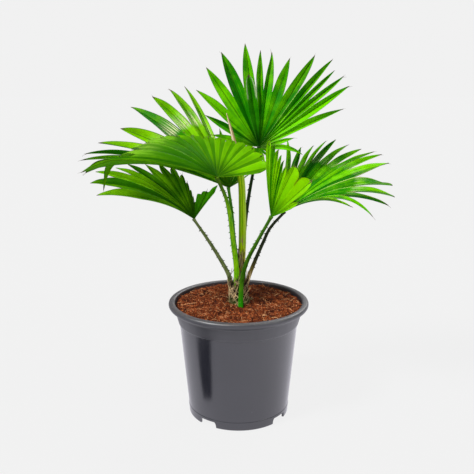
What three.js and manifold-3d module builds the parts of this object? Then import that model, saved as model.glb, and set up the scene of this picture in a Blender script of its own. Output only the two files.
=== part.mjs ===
// Young fan palm in a round nursery pot. Millimetres, +Z up, pot axis on Z, foot on Z = 0.
import * as THREE from 'three';
import { mergeVertices } from 'three/addons/utils/BufferGeometryUtils.js';
import Module from 'manifold-3d';

// ---- pot ----
const RIM_RADIUS = 95.0;
const POT_HEIGHT = 159.3;
const FOOT_RADIUS = 68.5;
const WALL_TOP_RADIUS = 80.2;
const COLLAR_BOTTOM = 130.2;
const COLLAR_BOTTOM_RADIUS = 81.6;
const COLLAR_TOP = 146.6;
const COLLAR_TOP_RADIUS = 86.0;
const WALL = 1.7;
const FLOOR_UNDERSIDE = 9.6;
const FLOOR_TOP = 11.6;
const POT_SIDES = 48;
const FOOT_LAND = 2.6;
const NOTCHES = 4;
const NOTCH_HEIGHT = 8.8;
const NOTCH_WIDTH = 27.0;
const NOTCH_TURN = -37;
const DRAIN_HOLES = 6;
const DRAIN_RADIUS = 4.5;
const DRAIN_CIRCLE = 45;

// ---- soil and stem ----
const GAP = 0.3;
const SOIL_LEVEL = 154.6;
const SOIL_RINGS = [24, 38, 52, 66, 77];
const SOIL_SECTORS = 36;
const STEM_CENTRE = [0.5, 1.0];
const STEM_FOOT = 118;
const STEM_TOP = 181;
const STEM_SOIL_RADIUS = 11.4;
const STEM_TOP_RADIUS = 10.6;
const SHEATH_WALL = 1.5;
const SHEATH_FOOT = 156.4;
const SHEATH_STRIPS = 13;

// ---- stalks: points up the middle, radius at foot and at the blade, thorns on one edge ----
const STALK_SIDES = 7;
const HOLE_FOOT = 173;
const stalks = {
  stalk_top: {
    points: [[4.2, 9.6, HOLE_FOOT], [6.7, 12.0, 238.5], [11.2, 16.0, 283.1], [19.1, 21.0, 329.6]],
    blade: 'blade_top',
    radius: [3.4, 1.9],
    thorns: 9,
    side: -1,
    colour: 0x35501f,
  },
  stalk_front: {
    points: [[-2.6, -7.0, HOLE_FOOT], [-3.3, -11.0, 211.5], [-6.7, -17.0, 239.1], [-11.7, -33.0, 285.9],
      [-16.0, -43.5, 307.8]],
    blade: 'blade_front',
    radius: [4.0, 2.2],
    thorns: 13,
    side: 1,
    colour: 0x4f8f1c,
  },
  stalk_rear: {
    points: [[-4.6, 7.6, HOLE_FOOT], [-2.9, 12.0, 209.4], [-6.3, 13.5, 242.5], [-9.2, 15.6, 278.2]],
    blade: 'blade_rear',
    radius: [3.2, 2.0],
    thorns: 8,
    side: 1,
    colour: 0x3f7a1e,
  },
  stalk_left: {
    points: [[-8.6, 0.0, HOLE_FOOT], [-13.4, -3.6, 195.5], [-23.5, -7.0, 216.6], [-39.4, -11.0, 244.4]],
    blade: 'blade_left',
    radius: [3.2, 1.9],
    thorns: 8,
    side: 1,
    colour: 0x4c6a2c,
  },
  stalk_fore_right: {
    points: [[2.6, -14.6, 146.0], [3.0, -14.8, 168.9], [4.4, -16.5, 192.5], [10.9, -26.0, 220.8], [22.8, -39.0, 249.0]],
    blade: 'blade_fore_right',
    radius: [3.6, 2.1],
    thorns: 9,
    side: -1,
    colour: 0x43861c,
  },
  stalk_right: {
    points: [[9.4, 4.2, HOLE_FOOT], [12.7, 6.0, 186.8], [23.0, 11.0, 212.9], [33.0, 16.0, 235.0], [42.5, 21.0, 253.9]],
    blade: 'blade_right',
    radius: [3.0, 1.9],
    thorns: 6,
    side: 1,
    colour: 0x3d5a24,
  },
};
const THORN_LENGTH = 2.6;
const THORN_BASE = 1.3;

// ---- unopened leaf ----
const spear = {
  points: [[2.6, 0.4, HOLE_FOOT], [3.8, 1.0, 212.2], [4.9, 2.0, 242.4], [4.8, 4.0, 285.6], [3.0, 5.5, 325.4],
    [-5.3, 8.5, 369.2], [-15.6, 11.0, 409.0]],
  radii: [4.2, 4.9, 5.0, 4.8, 4.4, 2.9, 0.5],
  sides: 8,
};

// ---- fan blades ----
// out: way the middle of the fan points; face: the side that looks to the light; lift and curl: how
// steeply a leaflet leaves the hub and how far it has bent over at "size" (degrees, with their change
// across the fan); leaflets: direction in the fan (degrees) and length (mm) of each; taper and spread:
// how late and how little a free end narrows; twist: how far free ends turn about themselves (degrees);
// bend: the way in which the free end of a leaflet is pulled.
const BLADE_THICKNESS = 0.95;
const BLADE_FOLD = 27;
const TWIST_STEP = 2.7;
const OUTER_NOTCH = 0.82;
const HANGING_SLIMS = 4;
const HUB_RADIUS = 4.0;
const UNITED_STATIONS = 3;
const FREE_STATIONS = 4;
const PATH_STEPS = 40;
const blades = {
  blade_top: {
    hub: [27, 25, 363.7], out: [0.05, 0.22, 1], face: [0, -1, 0.3],
    lift: [12, 0, 6], curl: [34, 0, 10], size: 140, united: [0.56, 0.6],
    taper: 2, spread: 0.1, twist: 26,
    leaflets: [[-79.6, 64.8], [-63, 82.9], [-51, 112.6], [-36.5, 128.1], [-24.6, 137.6], [-10.5, 141.3],
      [-1.9, 129.4], [4.9, 127.7], [16.4, 125.2], [28.5, 146.1], [37.2, 158.5], [41.8, 147.1], [47.2, 151.5],
      [53.1, 148.8], [63.1, 122.7], [74, 48], [88, 60.6], [112, 30]],
    bend: { 16: [0, 0, -0.7], 17: [-1.2, -0.3, -1.6] },
    colour: 0x2f9a12,
  },
  blade_front: {
    hub: [-26, -58, 336.8], out: [-0.9, 0.41, 0.128], face: [-0.101, -0.4, 0.92],
    lift: [32.3, -5.5, -13.3], curl: [63.3, 57.7, -83.3], size: 130, united: [0.8, 0.9],
    taper: 1.7, spread: 0.2, twist: 10,
    leaflets: [[-41.9, 168.8], [-36, 164.9], [-30, 171.2], [-22, 125.2], [-7.1, 117.8], [8, 115.9], [20, 110.9],
      [29, 93.8], [40.5, 82], [54.6, 73.4], [68.2, 69.9], [81.7, 68.1], [93.9, 69.5], [106.6, 69.4], [121.8, 67.9],
      [140.5, 66.8]],
    bend: { 0: [0, 0, -0.23], 1: [0, 0, -0.46], 2: [0.38, 0.95, -3.16] },
    colour: 0x58b512,
  },
  blade_rear: {
    hub: [-12.8, 16, 310.4], out: [-0.75, 0.19, 0.62], face: [0.3, -0.8, 0.5],
    lift: [14, 0, 0], curl: [40, 0, 0], size: 160, united: [0.62, 0.44],
    taper: 2.3, spread: 0.1, twist: 24,
    leaflets: [[-28.3, 201], [-25.9, 201.8], [-21, 189.9], [-11.9, 169.6], [1.4, 182.2], [12.3, 174.7],
      [21.7, 173.4], [29.2, 170.2], [40, 84], [52, 80], [65, 70], [80, 52], [94, 44], [104.5, 34.6]],
    bend: { 0: [0, -0.5, 0], 1: [0, -0.25, 0], 2: [0, -0.05, 0] },
    colour: 0x37a414,
  },
  blade_left: {
    hub: [-57.7, -15, 274.5], out: [-0.848, 0.34, 0.406], face: [0.025, -0.74, 0.672],
    lift: [52, -12, 0], curl: [58, 12, 0], size: 120, united: [0.76, 0.96],
    taper: 1.6, spread: 0.2, twist: 14,
    leaflets: [[-34.2, 142.3], [-24, 153.8], [-15.3, 152.7], [-9.8, 127.2], [-3, 117], [6.1, 97.8], [17.5, 87.2],
      [27.8, 77.9], [38, 66], [43.5, 54.5], [49, 43], [54.5, 33.5], [60, 25], [67.9, 36.8], [87.6, 43.6],
      [98.4, 54.4]],
    bend: {},
    colour: 0x2f8d14,
  },
  blade_fore_right: {
    hub: [39.9, -57, 286.1], out: [0.35, -0.2, 0.9], face: [-0.25, -0.9, 0.25],
    lift: [10, 0, 10], curl: [40, 40, 0], size: 100, united: [0.97, 0.66],
    taper: 2.6, spread: 1, twist: 8,
    leaflets: [[-25.1, 97.6], [-21, 92], [-17.3, 86.5], [-13.9, 81], [-10.6, 75], [-7, 69.5], [0.8, 74.4],
      [22.5, 72.8], [34, 44]],
    bend: {},
    colour: 0x6cc61a,
  },
  blade_right: {
    hub: [61.7, 28, 275.3], out: [0.956, 0.065, 0.286], face: [-0.216, -0.502, 0.838],
    lift: [28, 21, 17], curl: [30, 0, 0], size: 130, united: [0.58, 0.66],
    taper: 2.2, spread: 0.2, twist: 24,
    leaflets: [[-67.7, 126.2], [-60.5, 113.5], [-51.8, 118.8], [-45.8, 134.4], [-41, 143.1], [-30.5, 138.1],
      [-20.4, 142.7], [-13.2, 151.7], [-8.4, 156.9], [3.1, 168.6], [23.5, 169.4], [33.6, 176.3], [41.6, 170],
      [45.9, 163], [50.7, 137.3]],
    bend: { 0: [-0.3, -0.3, 0], 9: [0, 1, -0.1], 10: [0, 1.3, -0.35], 11: [0, 1.2, -0.35], 12: [0, 0.7, -0.3],
      13: [0, 0, -0.7], 14: [0, 0, -0.3] },
    colour: 0x35a818,
  },
};

const group = new THREE.Group();
const wasm = await Module();
wasm.setup();

const rad = THREE.MathUtils.degToRad;
const vec = (a) => new THREE.Vector3(a[0], a[1], a[2]);

function plastic(colour, roughness) {
  return new THREE.MeshStandardMaterial({ color: colour, roughness, metalness: 0 });
}

function addPart(name, geometry, material) {
  const mesh = new THREE.Mesh(geometry, material);
  mesh.name = name;
  group.add(mesh);
  return mesh;
}

function shell(positions, faces) {
  const geometry = new THREE.BufferGeometry();
  geometry.setAttribute('position', new THREE.Float32BufferAttribute(positions, 3));
  geometry.setIndex(faces);
  return geometry;
}

// ---- joining and cutting ----
function toSolid(geometry) {
  const bare = geometry.clone();
  bare.deleteAttribute('normal');
  bare.deleteAttribute('uv');
  const merged = mergeVertices(bare, 1e-4);
  const mesh = new wasm.Mesh({
    numProp: 3,
    vertProperties: new Float32Array(merged.attributes.position.array),
    triVerts: new Uint32Array(merged.index.array),
  });
  mesh.merge();
  return new wasm.Manifold(mesh);
}

function toGeometry(solid) {
  const mesh = solid.getMesh();
  return shell(Array.from(mesh.vertProperties), Array.from(mesh.triVerts));
}

function largest(solid) {
  const pieces = solid.decompose();
  return pieces.reduce((best, piece) => (piece.volume() > best.volume() ? piece : best));
}

// ---- pot ----
function potProfile() {
  const inner = (radius) => radius - WALL;
  return [
    [0, FLOOR_UNDERSIDE],
    [FOOT_RADIUS - FOOT_LAND - 0.3, FLOOR_UNDERSIDE],
    [FOOT_RADIUS - FOOT_LAND - 0.6, 0],
    [FOOT_RADIUS - 0.7, 0],
    [FOOT_RADIUS, 1.2],
    [FOOT_RADIUS - 0.1, 4.0],
    [WALL_TOP_RADIUS, COLLAR_BOTTOM - 0.8],
    [COLLAR_BOTTOM_RADIUS, COLLAR_BOTTOM],
    [COLLAR_TOP_RADIUS, COLLAR_TOP],
    [COLLAR_TOP_RADIUS + 1.2, COLLAR_TOP + 2.0],
    [RIM_RADIUS - 2.2, COLLAR_TOP + 5.2],
    [RIM_RADIUS - 0.4, COLLAR_TOP + 7.4],
    [RIM_RADIUS, POT_HEIGHT - 3.2],
    [RIM_RADIUS - 0.9, POT_HEIGHT - 0.9],
    [RIM_RADIUS - 3.0, POT_HEIGHT],
    [RIM_RADIUS - 7.6, POT_HEIGHT],
    [RIM_RADIUS - 8.6, POT_HEIGHT - 1.2],
    [RIM_RADIUS - 8.9, COLLAR_TOP + 4.0],
    [inner(COLLAR_TOP_RADIUS), COLLAR_TOP - 1.0],
    [inner(COLLAR_BOTTOM_RADIUS), COLLAR_BOTTOM],
    [inner(WALL_TOP_RADIUS), COLLAR_BOTTOM - 2.0],
    [inner(FOOT_RADIUS) + 0.6, FLOOR_TOP],
    [0, FLOOR_TOP],
  ].map(([r, z]) => new THREE.Vector2(r, z));
}

function lathe(profile, sides) {
  const geometry = new THREE.LatheGeometry(profile, sides);
  geometry.rotateX(Math.PI / 2);
  geometry.rotateZ(Math.PI / sides);
  return geometry;
}

function buildPot() {
  let pot = toSolid(lathe(potProfile(), POT_SIDES));
  for (let k = 0; k < NOTCHES; k += 1) {
    const half = NOTCH_WIDTH / 2;
    const outline = new THREE.Shape();
    outline.moveTo(-half, -1);
    outline.lineTo(half, -1);
    outline.lineTo(half - 0.8, NOTCH_HEIGHT * 0.55);
    outline.lineTo(half - 3.2, NOTCH_HEIGHT);
    outline.lineTo(-half + 3.2, NOTCH_HEIGHT);
    outline.lineTo(-half + 0.8, NOTCH_HEIGHT * 0.55);
    const cutter = new THREE.ExtrudeGeometry(outline, { depth: 20, bevelEnabled: false });
    cutter.rotateX(Math.PI / 2);
    cutter.translate(0, -FOOT_RADIUS + 13, 0);
    cutter.rotateZ(rad(90 + NOTCH_TURN + (k * 360) / NOTCHES));
    pot = pot.subtract(toSolid(cutter));
  }
  for (let k = 0; k < DRAIN_HOLES; k += 1) {
    const a = rad((k * 360) / DRAIN_HOLES + 20);
    const hole = new THREE.CylinderGeometry(DRAIN_RADIUS, DRAIN_RADIUS, 6, 10);
    hole.rotateX(Math.PI / 2);
    hole.translate(DRAIN_CIRCLE * Math.cos(a), DRAIN_CIRCLE * Math.sin(a), FLOOR_TOP - 1);
    pot = pot.subtract(toSolid(hole));
  }
  addPart('pot', toGeometry(pot), plastic(0x4a494e, 0.34));
}

// ---- swept pieces ----
function sweep(points, radiusAt, sides, stations, flat) {
  const curve = new THREE.CatmullRomCurve3(points.map(vec), false, 'centripetal');
  const positions = [];
  const faces = [];
  const across = new THREE.Vector3(1, 0, 0);
  for (let k = 0; k <= stations; k += 1) {
    const t = k / stations;
    const centre = curve.getPointAt(t);
    const along = curve.getTangentAt(t);
    const side = across.clone().addScaledVector(along, -across.dot(along)).normalize();
    const front = new THREE.Vector3().crossVectors(along, side);
    const radius = radiusAt(t);
    for (let s = 0; s < sides; s += 1) {
      const a = (s / sides) * Math.PI * 2;
      const p = centre.clone();
      p.addScaledVector(side, Math.cos(a) * radius);
      p.addScaledVector(front, Math.sin(a) * radius * flat);
      positions.push(p.x, p.y, p.z);
    }
  }
  for (let k = 0; k < stations; k += 1) {
    for (let s = 0; s < sides; s += 1) {
      const a = k * sides + s;
      const b = k * sides + ((s + 1) % sides);
      faces.push(a, b, b + sides, a, b + sides, a + sides);
    }
  }
  const top = stations * sides;
  for (let s = 1; s < sides - 1; s += 1) {
    faces.push(0, s + 1, s);
    faces.push(top, top + s, top + s + 1);
  }
  return { geometry: shell(positions, faces), curve };
}

const STALK_STATIONS = 12;
const STALK_FLAT = 0.82;
const STALK_INTO_HUB = 1.2;

function stalkPoints(row) {
  const { hub, out } = blades[row.blade];
  const end = vec(hub).addScaledVector(vec(out).normalize(), STALK_INTO_HUB);
  return [...row.points, end.toArray()];
}

function stalkRadius(row, spare) {
  const [foot, tip] = row.radius;
  return (t) => foot + (tip - foot) * Math.min(1, t * 1.15) + spare;
}

function stalkCutter(row) {
  const [[x, y, z], ...rest] = stalkPoints(row);
  const points = [[x, y, z - GAP], ...rest];
  return toSolid(sweep(points, stalkRadius(row, GAP + 0.1), STALK_SIDES, STALK_STATIONS, STALK_FLAT).geometry);
}

function buildStalk(name, row) {
  const { geometry, curve } = sweep(stalkPoints(row), stalkRadius(row, 0), STALK_SIDES, STALK_STATIONS, STALK_FLAT);
  let stalk = toSolid(geometry);
  const radiusAt = stalkRadius(row, 0);
  for (let k = 0; k < row.thorns; k += 1) {
    const t = 0.26 + (0.62 * (k + 0.5)) / row.thorns;
    const along = curve.getTangentAt(t);
    const side = new THREE.Vector3(row.side, 0, 0);
    side.addScaledVector(along, -side.dot(along)).normalize();
    const thorn = new THREE.ConeGeometry(THORN_BASE, THORN_LENGTH + 1.2, 3);
    const way = side.clone().addScaledVector(along, -0.45).normalize();
    thorn.applyQuaternion(new THREE.Quaternion().setFromUnitVectors(new THREE.Vector3(0, 1, 0), way));
    const seat = curve.getPointAt(t).addScaledVector(side, radiusAt(t) + THORN_LENGTH / 2 - 1.3);
    thorn.translate(seat.x, seat.y, seat.z);
    stalk = stalk.add(toSolid(thorn));
  }
  addPart(name, toGeometry(largest(stalk)), plastic(row.colour, 0.5));
}

function spearRadius(t) {
  const x = t * (spear.radii.length - 1);
  const k = Math.min(Math.floor(x), spear.radii.length - 2);
  return THREE.MathUtils.lerp(spear.radii[k], spear.radii[k + 1], x - k);
}

function buildSpear() {
  const { geometry } = sweep(spear.points, spearRadius, spear.sides, 14, 0.72);
  addPart('spear', geometry, plastic(0x8fae2c, 0.5));
}

// ---- soil, stem and sheath ----
function soilBump(x, y) {
  return 0.9 * Math.sin(x * 0.21 + 1.3) * Math.cos(y * 0.17) + 0.7 * Math.sin(x * 0.09 - y * 0.13 + 0.6)
    + 0.5 * Math.cos(x * 0.33 + y * 0.29);
}

function buildSoil(stemHole, stalkHole) {
  const clear = GAP + 0.15;
  const wall = (z) => {
    const rise = (z - FLOOR_TOP) / (COLLAR_BOTTOM - 2.0 - FLOOR_TOP);
    return THREE.MathUtils.lerp(FOOT_RADIUS - WALL + 0.6, WALL_TOP_RADIUS - WALL, rise) - clear;
  };
  const edge = [
    [wall(FLOOR_TOP), FLOOR_TOP + GAP],
    [wall(COLLAR_BOTTOM - 2.0), COLLAR_BOTTOM - 2.0 + GAP],
    [COLLAR_BOTTOM_RADIUS - WALL - clear, COLLAR_BOTTOM + GAP],
    [COLLAR_TOP_RADIUS - WALL - clear, COLLAR_TOP - 1.0 + GAP],
    [RIM_RADIUS - 8.9 - clear, COLLAR_TOP + 4.0 + GAP],
    [RIM_RADIUS - 8.9 - clear, SOIL_LEVEL - 0.6],
  ];
  const positions = [0, 0, FLOOR_TOP + GAP];
  const rings = edge.map(([r, z]) => ({ r, z, level: false }));
  [...SOIL_RINGS].reverse().forEach((r) => rings.push({ r, z: SOIL_LEVEL, level: true }));
  const turn = Math.PI / SOIL_SECTORS;
  rings.forEach((ring) => {
    for (let s = 0; s < SOIL_SECTORS; s += 1) {
      const a = (s / SOIL_SECTORS) * Math.PI * 2 + turn;
      const x = ring.r * Math.cos(a);
      const y = ring.r * Math.sin(a);
      positions.push(x, y, ring.z + (ring.level ? soilBump(x, y) : 0));
    }
  });
  positions.push(0, 0, SOIL_LEVEL + 0.8);
  const faces = [];
  const at = (ring, s) => 1 + ring * SOIL_SECTORS + (s % SOIL_SECTORS);
  const last = positions.length / 3 - 1;
  for (let s = 0; s < SOIL_SECTORS; s += 1) {
    faces.push(0, at(0, s + 1), at(0, s));
    for (let k = 0; k < rings.length - 1; k += 1) {
      faces.push(at(k, s), at(k, s + 1), at(k + 1, s + 1), at(k, s), at(k + 1, s + 1), at(k + 1, s));
    }
    faces.push(at(rings.length - 1, s), at(rings.length - 1, s + 1), last);
  }
  const soil = toSolid(shell(positions, faces)).subtract(stemHole).subtract(stalkHole);
  addPart('soil', toGeometry(largest(soil)), plastic(0x6e3b22, 0.95));
}

function stemSolid(spare, foot, top) {
  const sides = 18;
  const profile = [
    [0, foot],
    [STEM_SOIL_RADIUS - 3.5 + spare, foot],
    [STEM_SOIL_RADIUS + spare, SOIL_LEVEL - 8],
    [STEM_TOP_RADIUS + spare, STEM_TOP - 3],
    [STEM_TOP_RADIUS - 1.0 + spare, top],
    [0, top],
  ].map(([r, z]) => new THREE.Vector2(r, z));
  const geometry = lathe(profile, sides);
  geometry.translate(STEM_CENTRE[0], STEM_CENTRE[1], 0);
  return toSolid(geometry);
}

function sheathSolid() {
  const positions = [];
  const faces = [];
  const sectors = SHEATH_STRIPS * 2;
  const inner = (z) => THREE.MathUtils.mapLinear(z, SHEATH_FOOT, STEM_TOP, STEM_SOIL_RADIUS, STEM_TOP_RADIUS) + GAP + 0.15;
  const rings = 4;
  for (let s = 0; s < sectors; s += 1) {
    const a = (s / sectors) * Math.PI * 2;
    const tip = s % 2 === 0;
    const top = tip ? 194 + 7 * Math.sin(s * 2.1 + 0.7) : 180 + 3.5 * Math.cos(s * 1.7);
    for (let k = 0; k < rings; k += 1) {
      const z = THREE.MathUtils.lerp(SHEATH_FOOT, top, k / (rings - 1));
      const flare = Math.max(0, z - STEM_TOP) * 0.16;
      const radius = inner(z) + flare;
      const wall = SHEATH_WALL * (k === rings - 1 ? 0.55 : 1);
      [radius, radius + wall].forEach((r) => {
        positions.push(STEM_CENTRE[0] + r * Math.cos(a), STEM_CENTRE[1] + r * Math.sin(a), z);
      });
    }
  }
  const at = (s, k, out) => ((s % sectors) * rings + k) * 2 + out;
  for (let s = 0; s < sectors; s += 1) {
    for (let k = 0; k < rings - 1; k += 1) {
      faces.push(at(s, k, 1), at(s + 1, k, 1), at(s + 1, k + 1, 1), at(s, k, 1), at(s + 1, k + 1, 1), at(s, k + 1, 1));
      faces.push(at(s, k, 0), at(s + 1, k + 1, 0), at(s + 1, k, 0), at(s, k, 0), at(s, k + 1, 0), at(s + 1, k + 1, 0));
    }
    const k = rings - 1;
    faces.push(at(s, k, 1), at(s + 1, k, 1), at(s + 1, k, 0), at(s, k, 1), at(s + 1, k, 0), at(s, k, 0));
    faces.push(at(s, 0, 1), at(s + 1, 0, 0), at(s + 1, 0, 1), at(s, 0, 1), at(s, 0, 0), at(s + 1, 0, 0));
  }
  return toSolid(shell(positions, faces));
}

function buildFoot() {
  const cutters = Object.values(stalks).map(stalkCutter);
  const [x, y, z] = spear.points[0];
  const spearPoints = [[x, y, z - GAP], ...spear.points.slice(1)];
  cutters.push(toSolid(sweep(spearPoints, (t) => spearRadius(t) + GAP + 0.1, spear.sides, 14, 0.8).geometry));
  let stem = stemSolid(0, STEM_FOOT, STEM_TOP);
  let sheath = sheathSolid();
  cutters.forEach((cutter) => {
    stem = stem.subtract(cutter);
    sheath = sheath.subtract(cutter);
  });
  addPart('stem_base', toGeometry(largest(stem)), plastic(0x6a4a2a, 0.8));
  addPart('sheath', toGeometry(largest(sheath)), plastic(0x9a7448, 0.9));
  buildSoil(stemSolid(GAP + 0.05, STEM_FOOT - GAP, SOIL_LEVEL + 12), stalkCutter(stalks.stalk_fore_right));
}

// ---- fan blades ----
function bladeFrame(leaf) {
  const out = vec(leaf.out).normalize();
  const face = vec(leaf.face);
  face.addScaledVector(out, -face.dot(out)).normalize();
  return { out, face, side: new THREE.Vector3().crossVectors(out, face) };
}

// the line that a leaflet follows from the hub: points, directions and face normals at even steps
function leafletPath(leaf, angle, length, free) {
  const { out, face, side } = bladeFrame(leaf);
  const a = rad(angle);
  const reach = out.clone().multiplyScalar(Math.cos(a)).addScaledVector(side, Math.sin(a));
  const t = angle / 100;
  const lift = leaf.lift[0] + leaf.lift[1] * t + leaf.lift[2] * t * t;
  const curl = leaf.curl[0] + leaf.curl[1] * t + leaf.curl[2] * t * t;
  const heading = (s) => {
    const slope = rad(lift - curl * (s / leaf.size) ** 1.5);
    const way = reach.clone().multiplyScalar(Math.cos(slope)).addScaledVector(face, Math.sin(slope));
    const up = reach.clone().multiplyScalar(-Math.sin(slope)).addScaledVector(face, Math.cos(slope));
    if (free && s > free.from) {
      const g = (s - free.from) / (length - free.from);
      way.addScaledVector(free.bend, g ** 1.2).normalize();
      up.addScaledVector(way, -up.dot(way)).normalize();
      up.applyAxisAngle(way, free.twist * g);
    }
    return { way, up };
  };
  const step = length / PATH_STEPS;
  const path = { length, points: [vec(leaf.hub)], ways: [], ups: [] };
  for (let k = 0; k <= PATH_STEPS; k += 1) {
    const { way, up } = heading(step * k);
    path.ways.push(way);
    path.ups.push(up);
    if (k < PATH_STEPS) {
      path.points.push(path.points[k].clone().addScaledVector(heading(step * (k + 0.5)).way, step));
    }
  }
  return path;
}

function along(path, s) {
  const x = THREE.MathUtils.clamp((s / path.length) * PATH_STEPS, 0, PATH_STEPS);
  const k = Math.min(Math.floor(x), PATH_STEPS - 1);
  const f = x - k;
  const point = path.points[k].clone().lerp(path.points[k + 1], f);
  const way = path.ways[k].clone().lerp(path.ways[k + 1], f).normalize();
  const up = path.ups[k].clone().lerp(path.ups[k + 1], f).normalize();
  return { point, way, up, side: new THREE.Vector3().crossVectors(way, up) };
}

function buildBlade(name, leaf) {
  const { leaflets } = leaf;
  const count = leaflets.length;
  const angles = leaflets.map((row) => row[0]);
  const lengths = leaflets.map((row) => row[1]);
  const edges = [angles[0] - (angles[1] - angles[0]) / 2];
  for (let i = 0; i < count - 1; i += 1) {
    edges.push((angles[i] + angles[i + 1]) / 2);
  }
  edges.push(angles[count - 1] + (angles[count - 1] - angles[count - 2]) / 2);
  const notches = edges.map((_, j) => {
    const shorter = Math.min(lengths[Math.max(j - 1, 0)], lengths[Math.min(j, count - 1)]);
    const outer = j === 0 || j === count ? OUTER_NOTCH : 1;
    return shorter * THREE.MathUtils.lerp(leaf.united[0], leaf.united[1], j / count) * outer;
  });
  const half = rad((edges[count] - edges[0]) / count / 2);
  const foldAt = (s) => s * Math.sin(half) * Math.tan(rad(BLADE_FOLD)) * 0.5;

  const upper = [];
  const lower = [];
  const place = (point, up) => {
    upper.push(point.clone().addScaledVector(up, BLADE_THICKNESS / 2));
    lower.push(point.clone().addScaledVector(up, -BLADE_THICKNESS / 2));
    return upper.length - 1;
  };
  const mid = (index) => upper[index].clone().lerp(lower[index], 0.5);

  const ridges = edges.map((angle, j) => {
    const path = leafletPath(leaf, angle, Math.max(notches[j], HUB_RADIUS + 1), null);
    const row = [];
    for (let k = 0; k <= UNITED_STATIONS; k += 1) {
      const s = THREE.MathUtils.lerp(HUB_RADIUS, notches[j], k / UNITED_STATIONS);
      const { point, up } = along(path, s);
      row.push(place(point.addScaledVector(up, foldAt(s)), up));
    }
    return row;
  });

  const tops = [];
  const walls = [];
  const quad = (a, b, c, d) => tops.push([a, b, c], [a, c, d]);
  leaflets.forEach(([angle, length], i) => {
    const start = (notches[i] + notches[i + 1]) / 2;
    const twist = rad(leaf.twist) * Math.sin(i * TWIST_STEP + leaf.size);
    const free = { from: start, bend: vec(leaf.bend[i] ?? [0, 0, 0]), twist };
    const path = leafletPath(leaf, angle, length, free);
    const rib = [];
    for (let k = 0; k <= UNITED_STATIONS; k += 1) {
      const s = THREE.MathUtils.lerp(HUB_RADIUS, start, k / UNITED_STATIONS);
      const { point, up } = along(path, s);
      rib.push(place(point.addScaledVector(up, -foldAt(s)), up));
    }
    const slims = HANGING_SLIMS * Math.max(0, vec(leaf.bend[i] ?? [0, 0, 0]).length() - 1.5);
    const margin = (notch, index) => {
      const root = along(path, notch);
      const offset = mid(index).sub(root.point);
      const across = offset.dot(root.side);
      const rise = offset.dot(root.up);
      const ahead = offset.dot(root.way);
      const row = [index];
      for (let k = 1; k <= FREE_STATIONS; k += 1) {
        const g = k / (FREE_STATIONS + 1);
        const s = THREE.MathUtils.lerp(notch, length, g);
        const { point, way, up, side } = along(path, s);
        const width = ((1 - g ** leaf.taper) * (s / notch) ** leaf.spread) / (1 + slims * g);
        point.addScaledVector(side, across * width);
        point.addScaledVector(up, rise * width);
        point.addScaledVector(way, ahead * (1 - g));
        row.push(place(point, up));
      }
      return row;
    };
    const left = margin(notches[i], ridges[i][UNITED_STATIONS]);
    const right = margin(notches[i + 1], ridges[i + 1][UNITED_STATIONS]);
    const middle = [rib[UNITED_STATIONS]];
    for (let k = 1; k <= FREE_STATIONS; k += 1) {
      const g = k / (FREE_STATIONS + 1);
      const s = THREE.MathUtils.lerp(start, length, g);
      const { point, up } = along(path, s);
      middle.push(place(point.addScaledVector(up, -foldAt(start) * (1 - g ** leaf.taper)), up));
    }
    const end = along(path, length);
    const tip = place(end.point, end.up);

    for (let k = 0; k < UNITED_STATIONS; k += 1) {
      quad(ridges[i][k], rib[k], rib[k + 1], ridges[i][k + 1]);
      quad(rib[k], ridges[i + 1][k], ridges[i + 1][k + 1], rib[k + 1]);
    }
    for (let k = 0; k < FREE_STATIONS; k += 1) {
      quad(left[k], middle[k], middle[k + 1], left[k + 1]);
      quad(middle[k], right[k], right[k + 1], middle[k + 1]);
      walls.push([left[k], left[k + 1]], [right[k + 1], right[k]]);
    }
    tops.push([left[FREE_STATIONS], middle[FREE_STATIONS], tip], [middle[FREE_STATIONS], right[FREE_STATIONS], tip]);
    walls.push([left[FREE_STATIONS], tip], [tip, right[FREE_STATIONS]]);
    walls.push([rib[0], ridges[i][0]], [ridges[i + 1][0], rib[0]]);
  });
  for (let k = 0; k < UNITED_STATIONS; k += 1) {
    walls.push([ridges[0][k], ridges[0][k + 1]], [ridges[count][k + 1], ridges[count][k]]);
  }

  const positions = [...upper, ...lower].flatMap((p) => [p.x, p.y, p.z]);
  const n = upper.length;
  const faces = [];
  tops.forEach(([a, b, c]) => faces.push(a, b, c, a + n, c + n, b + n));
  walls.forEach(([a, b]) => faces.push(a, b, b + n, a, b + n, a + n));
  addPart(name, shell(positions, faces), plastic(leaf.colour, 0.5));
}

buildPot();
buildFoot();
buildSpear();
Object.entries(stalks).forEach(([name, row]) => buildStalk(name, row));
Object.entries(blades).forEach(([name, leaf]) => buildBlade(name, leaf));

export default group;
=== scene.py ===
import math

import bmesh
import bpy
import numpy as np
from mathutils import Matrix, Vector


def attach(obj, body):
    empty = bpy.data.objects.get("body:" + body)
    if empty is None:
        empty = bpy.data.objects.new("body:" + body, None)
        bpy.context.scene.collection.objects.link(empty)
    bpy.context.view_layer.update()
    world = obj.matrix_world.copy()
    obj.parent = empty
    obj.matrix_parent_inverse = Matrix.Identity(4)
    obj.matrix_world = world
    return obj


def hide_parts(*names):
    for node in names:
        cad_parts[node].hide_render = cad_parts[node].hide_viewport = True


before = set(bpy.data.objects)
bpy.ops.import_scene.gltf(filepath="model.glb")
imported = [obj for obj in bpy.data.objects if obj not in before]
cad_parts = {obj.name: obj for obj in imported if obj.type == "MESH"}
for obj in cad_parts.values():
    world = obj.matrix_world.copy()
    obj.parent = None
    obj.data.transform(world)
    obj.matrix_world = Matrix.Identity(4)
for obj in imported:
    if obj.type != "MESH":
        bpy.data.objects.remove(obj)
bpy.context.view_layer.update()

MM = 0.001

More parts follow.
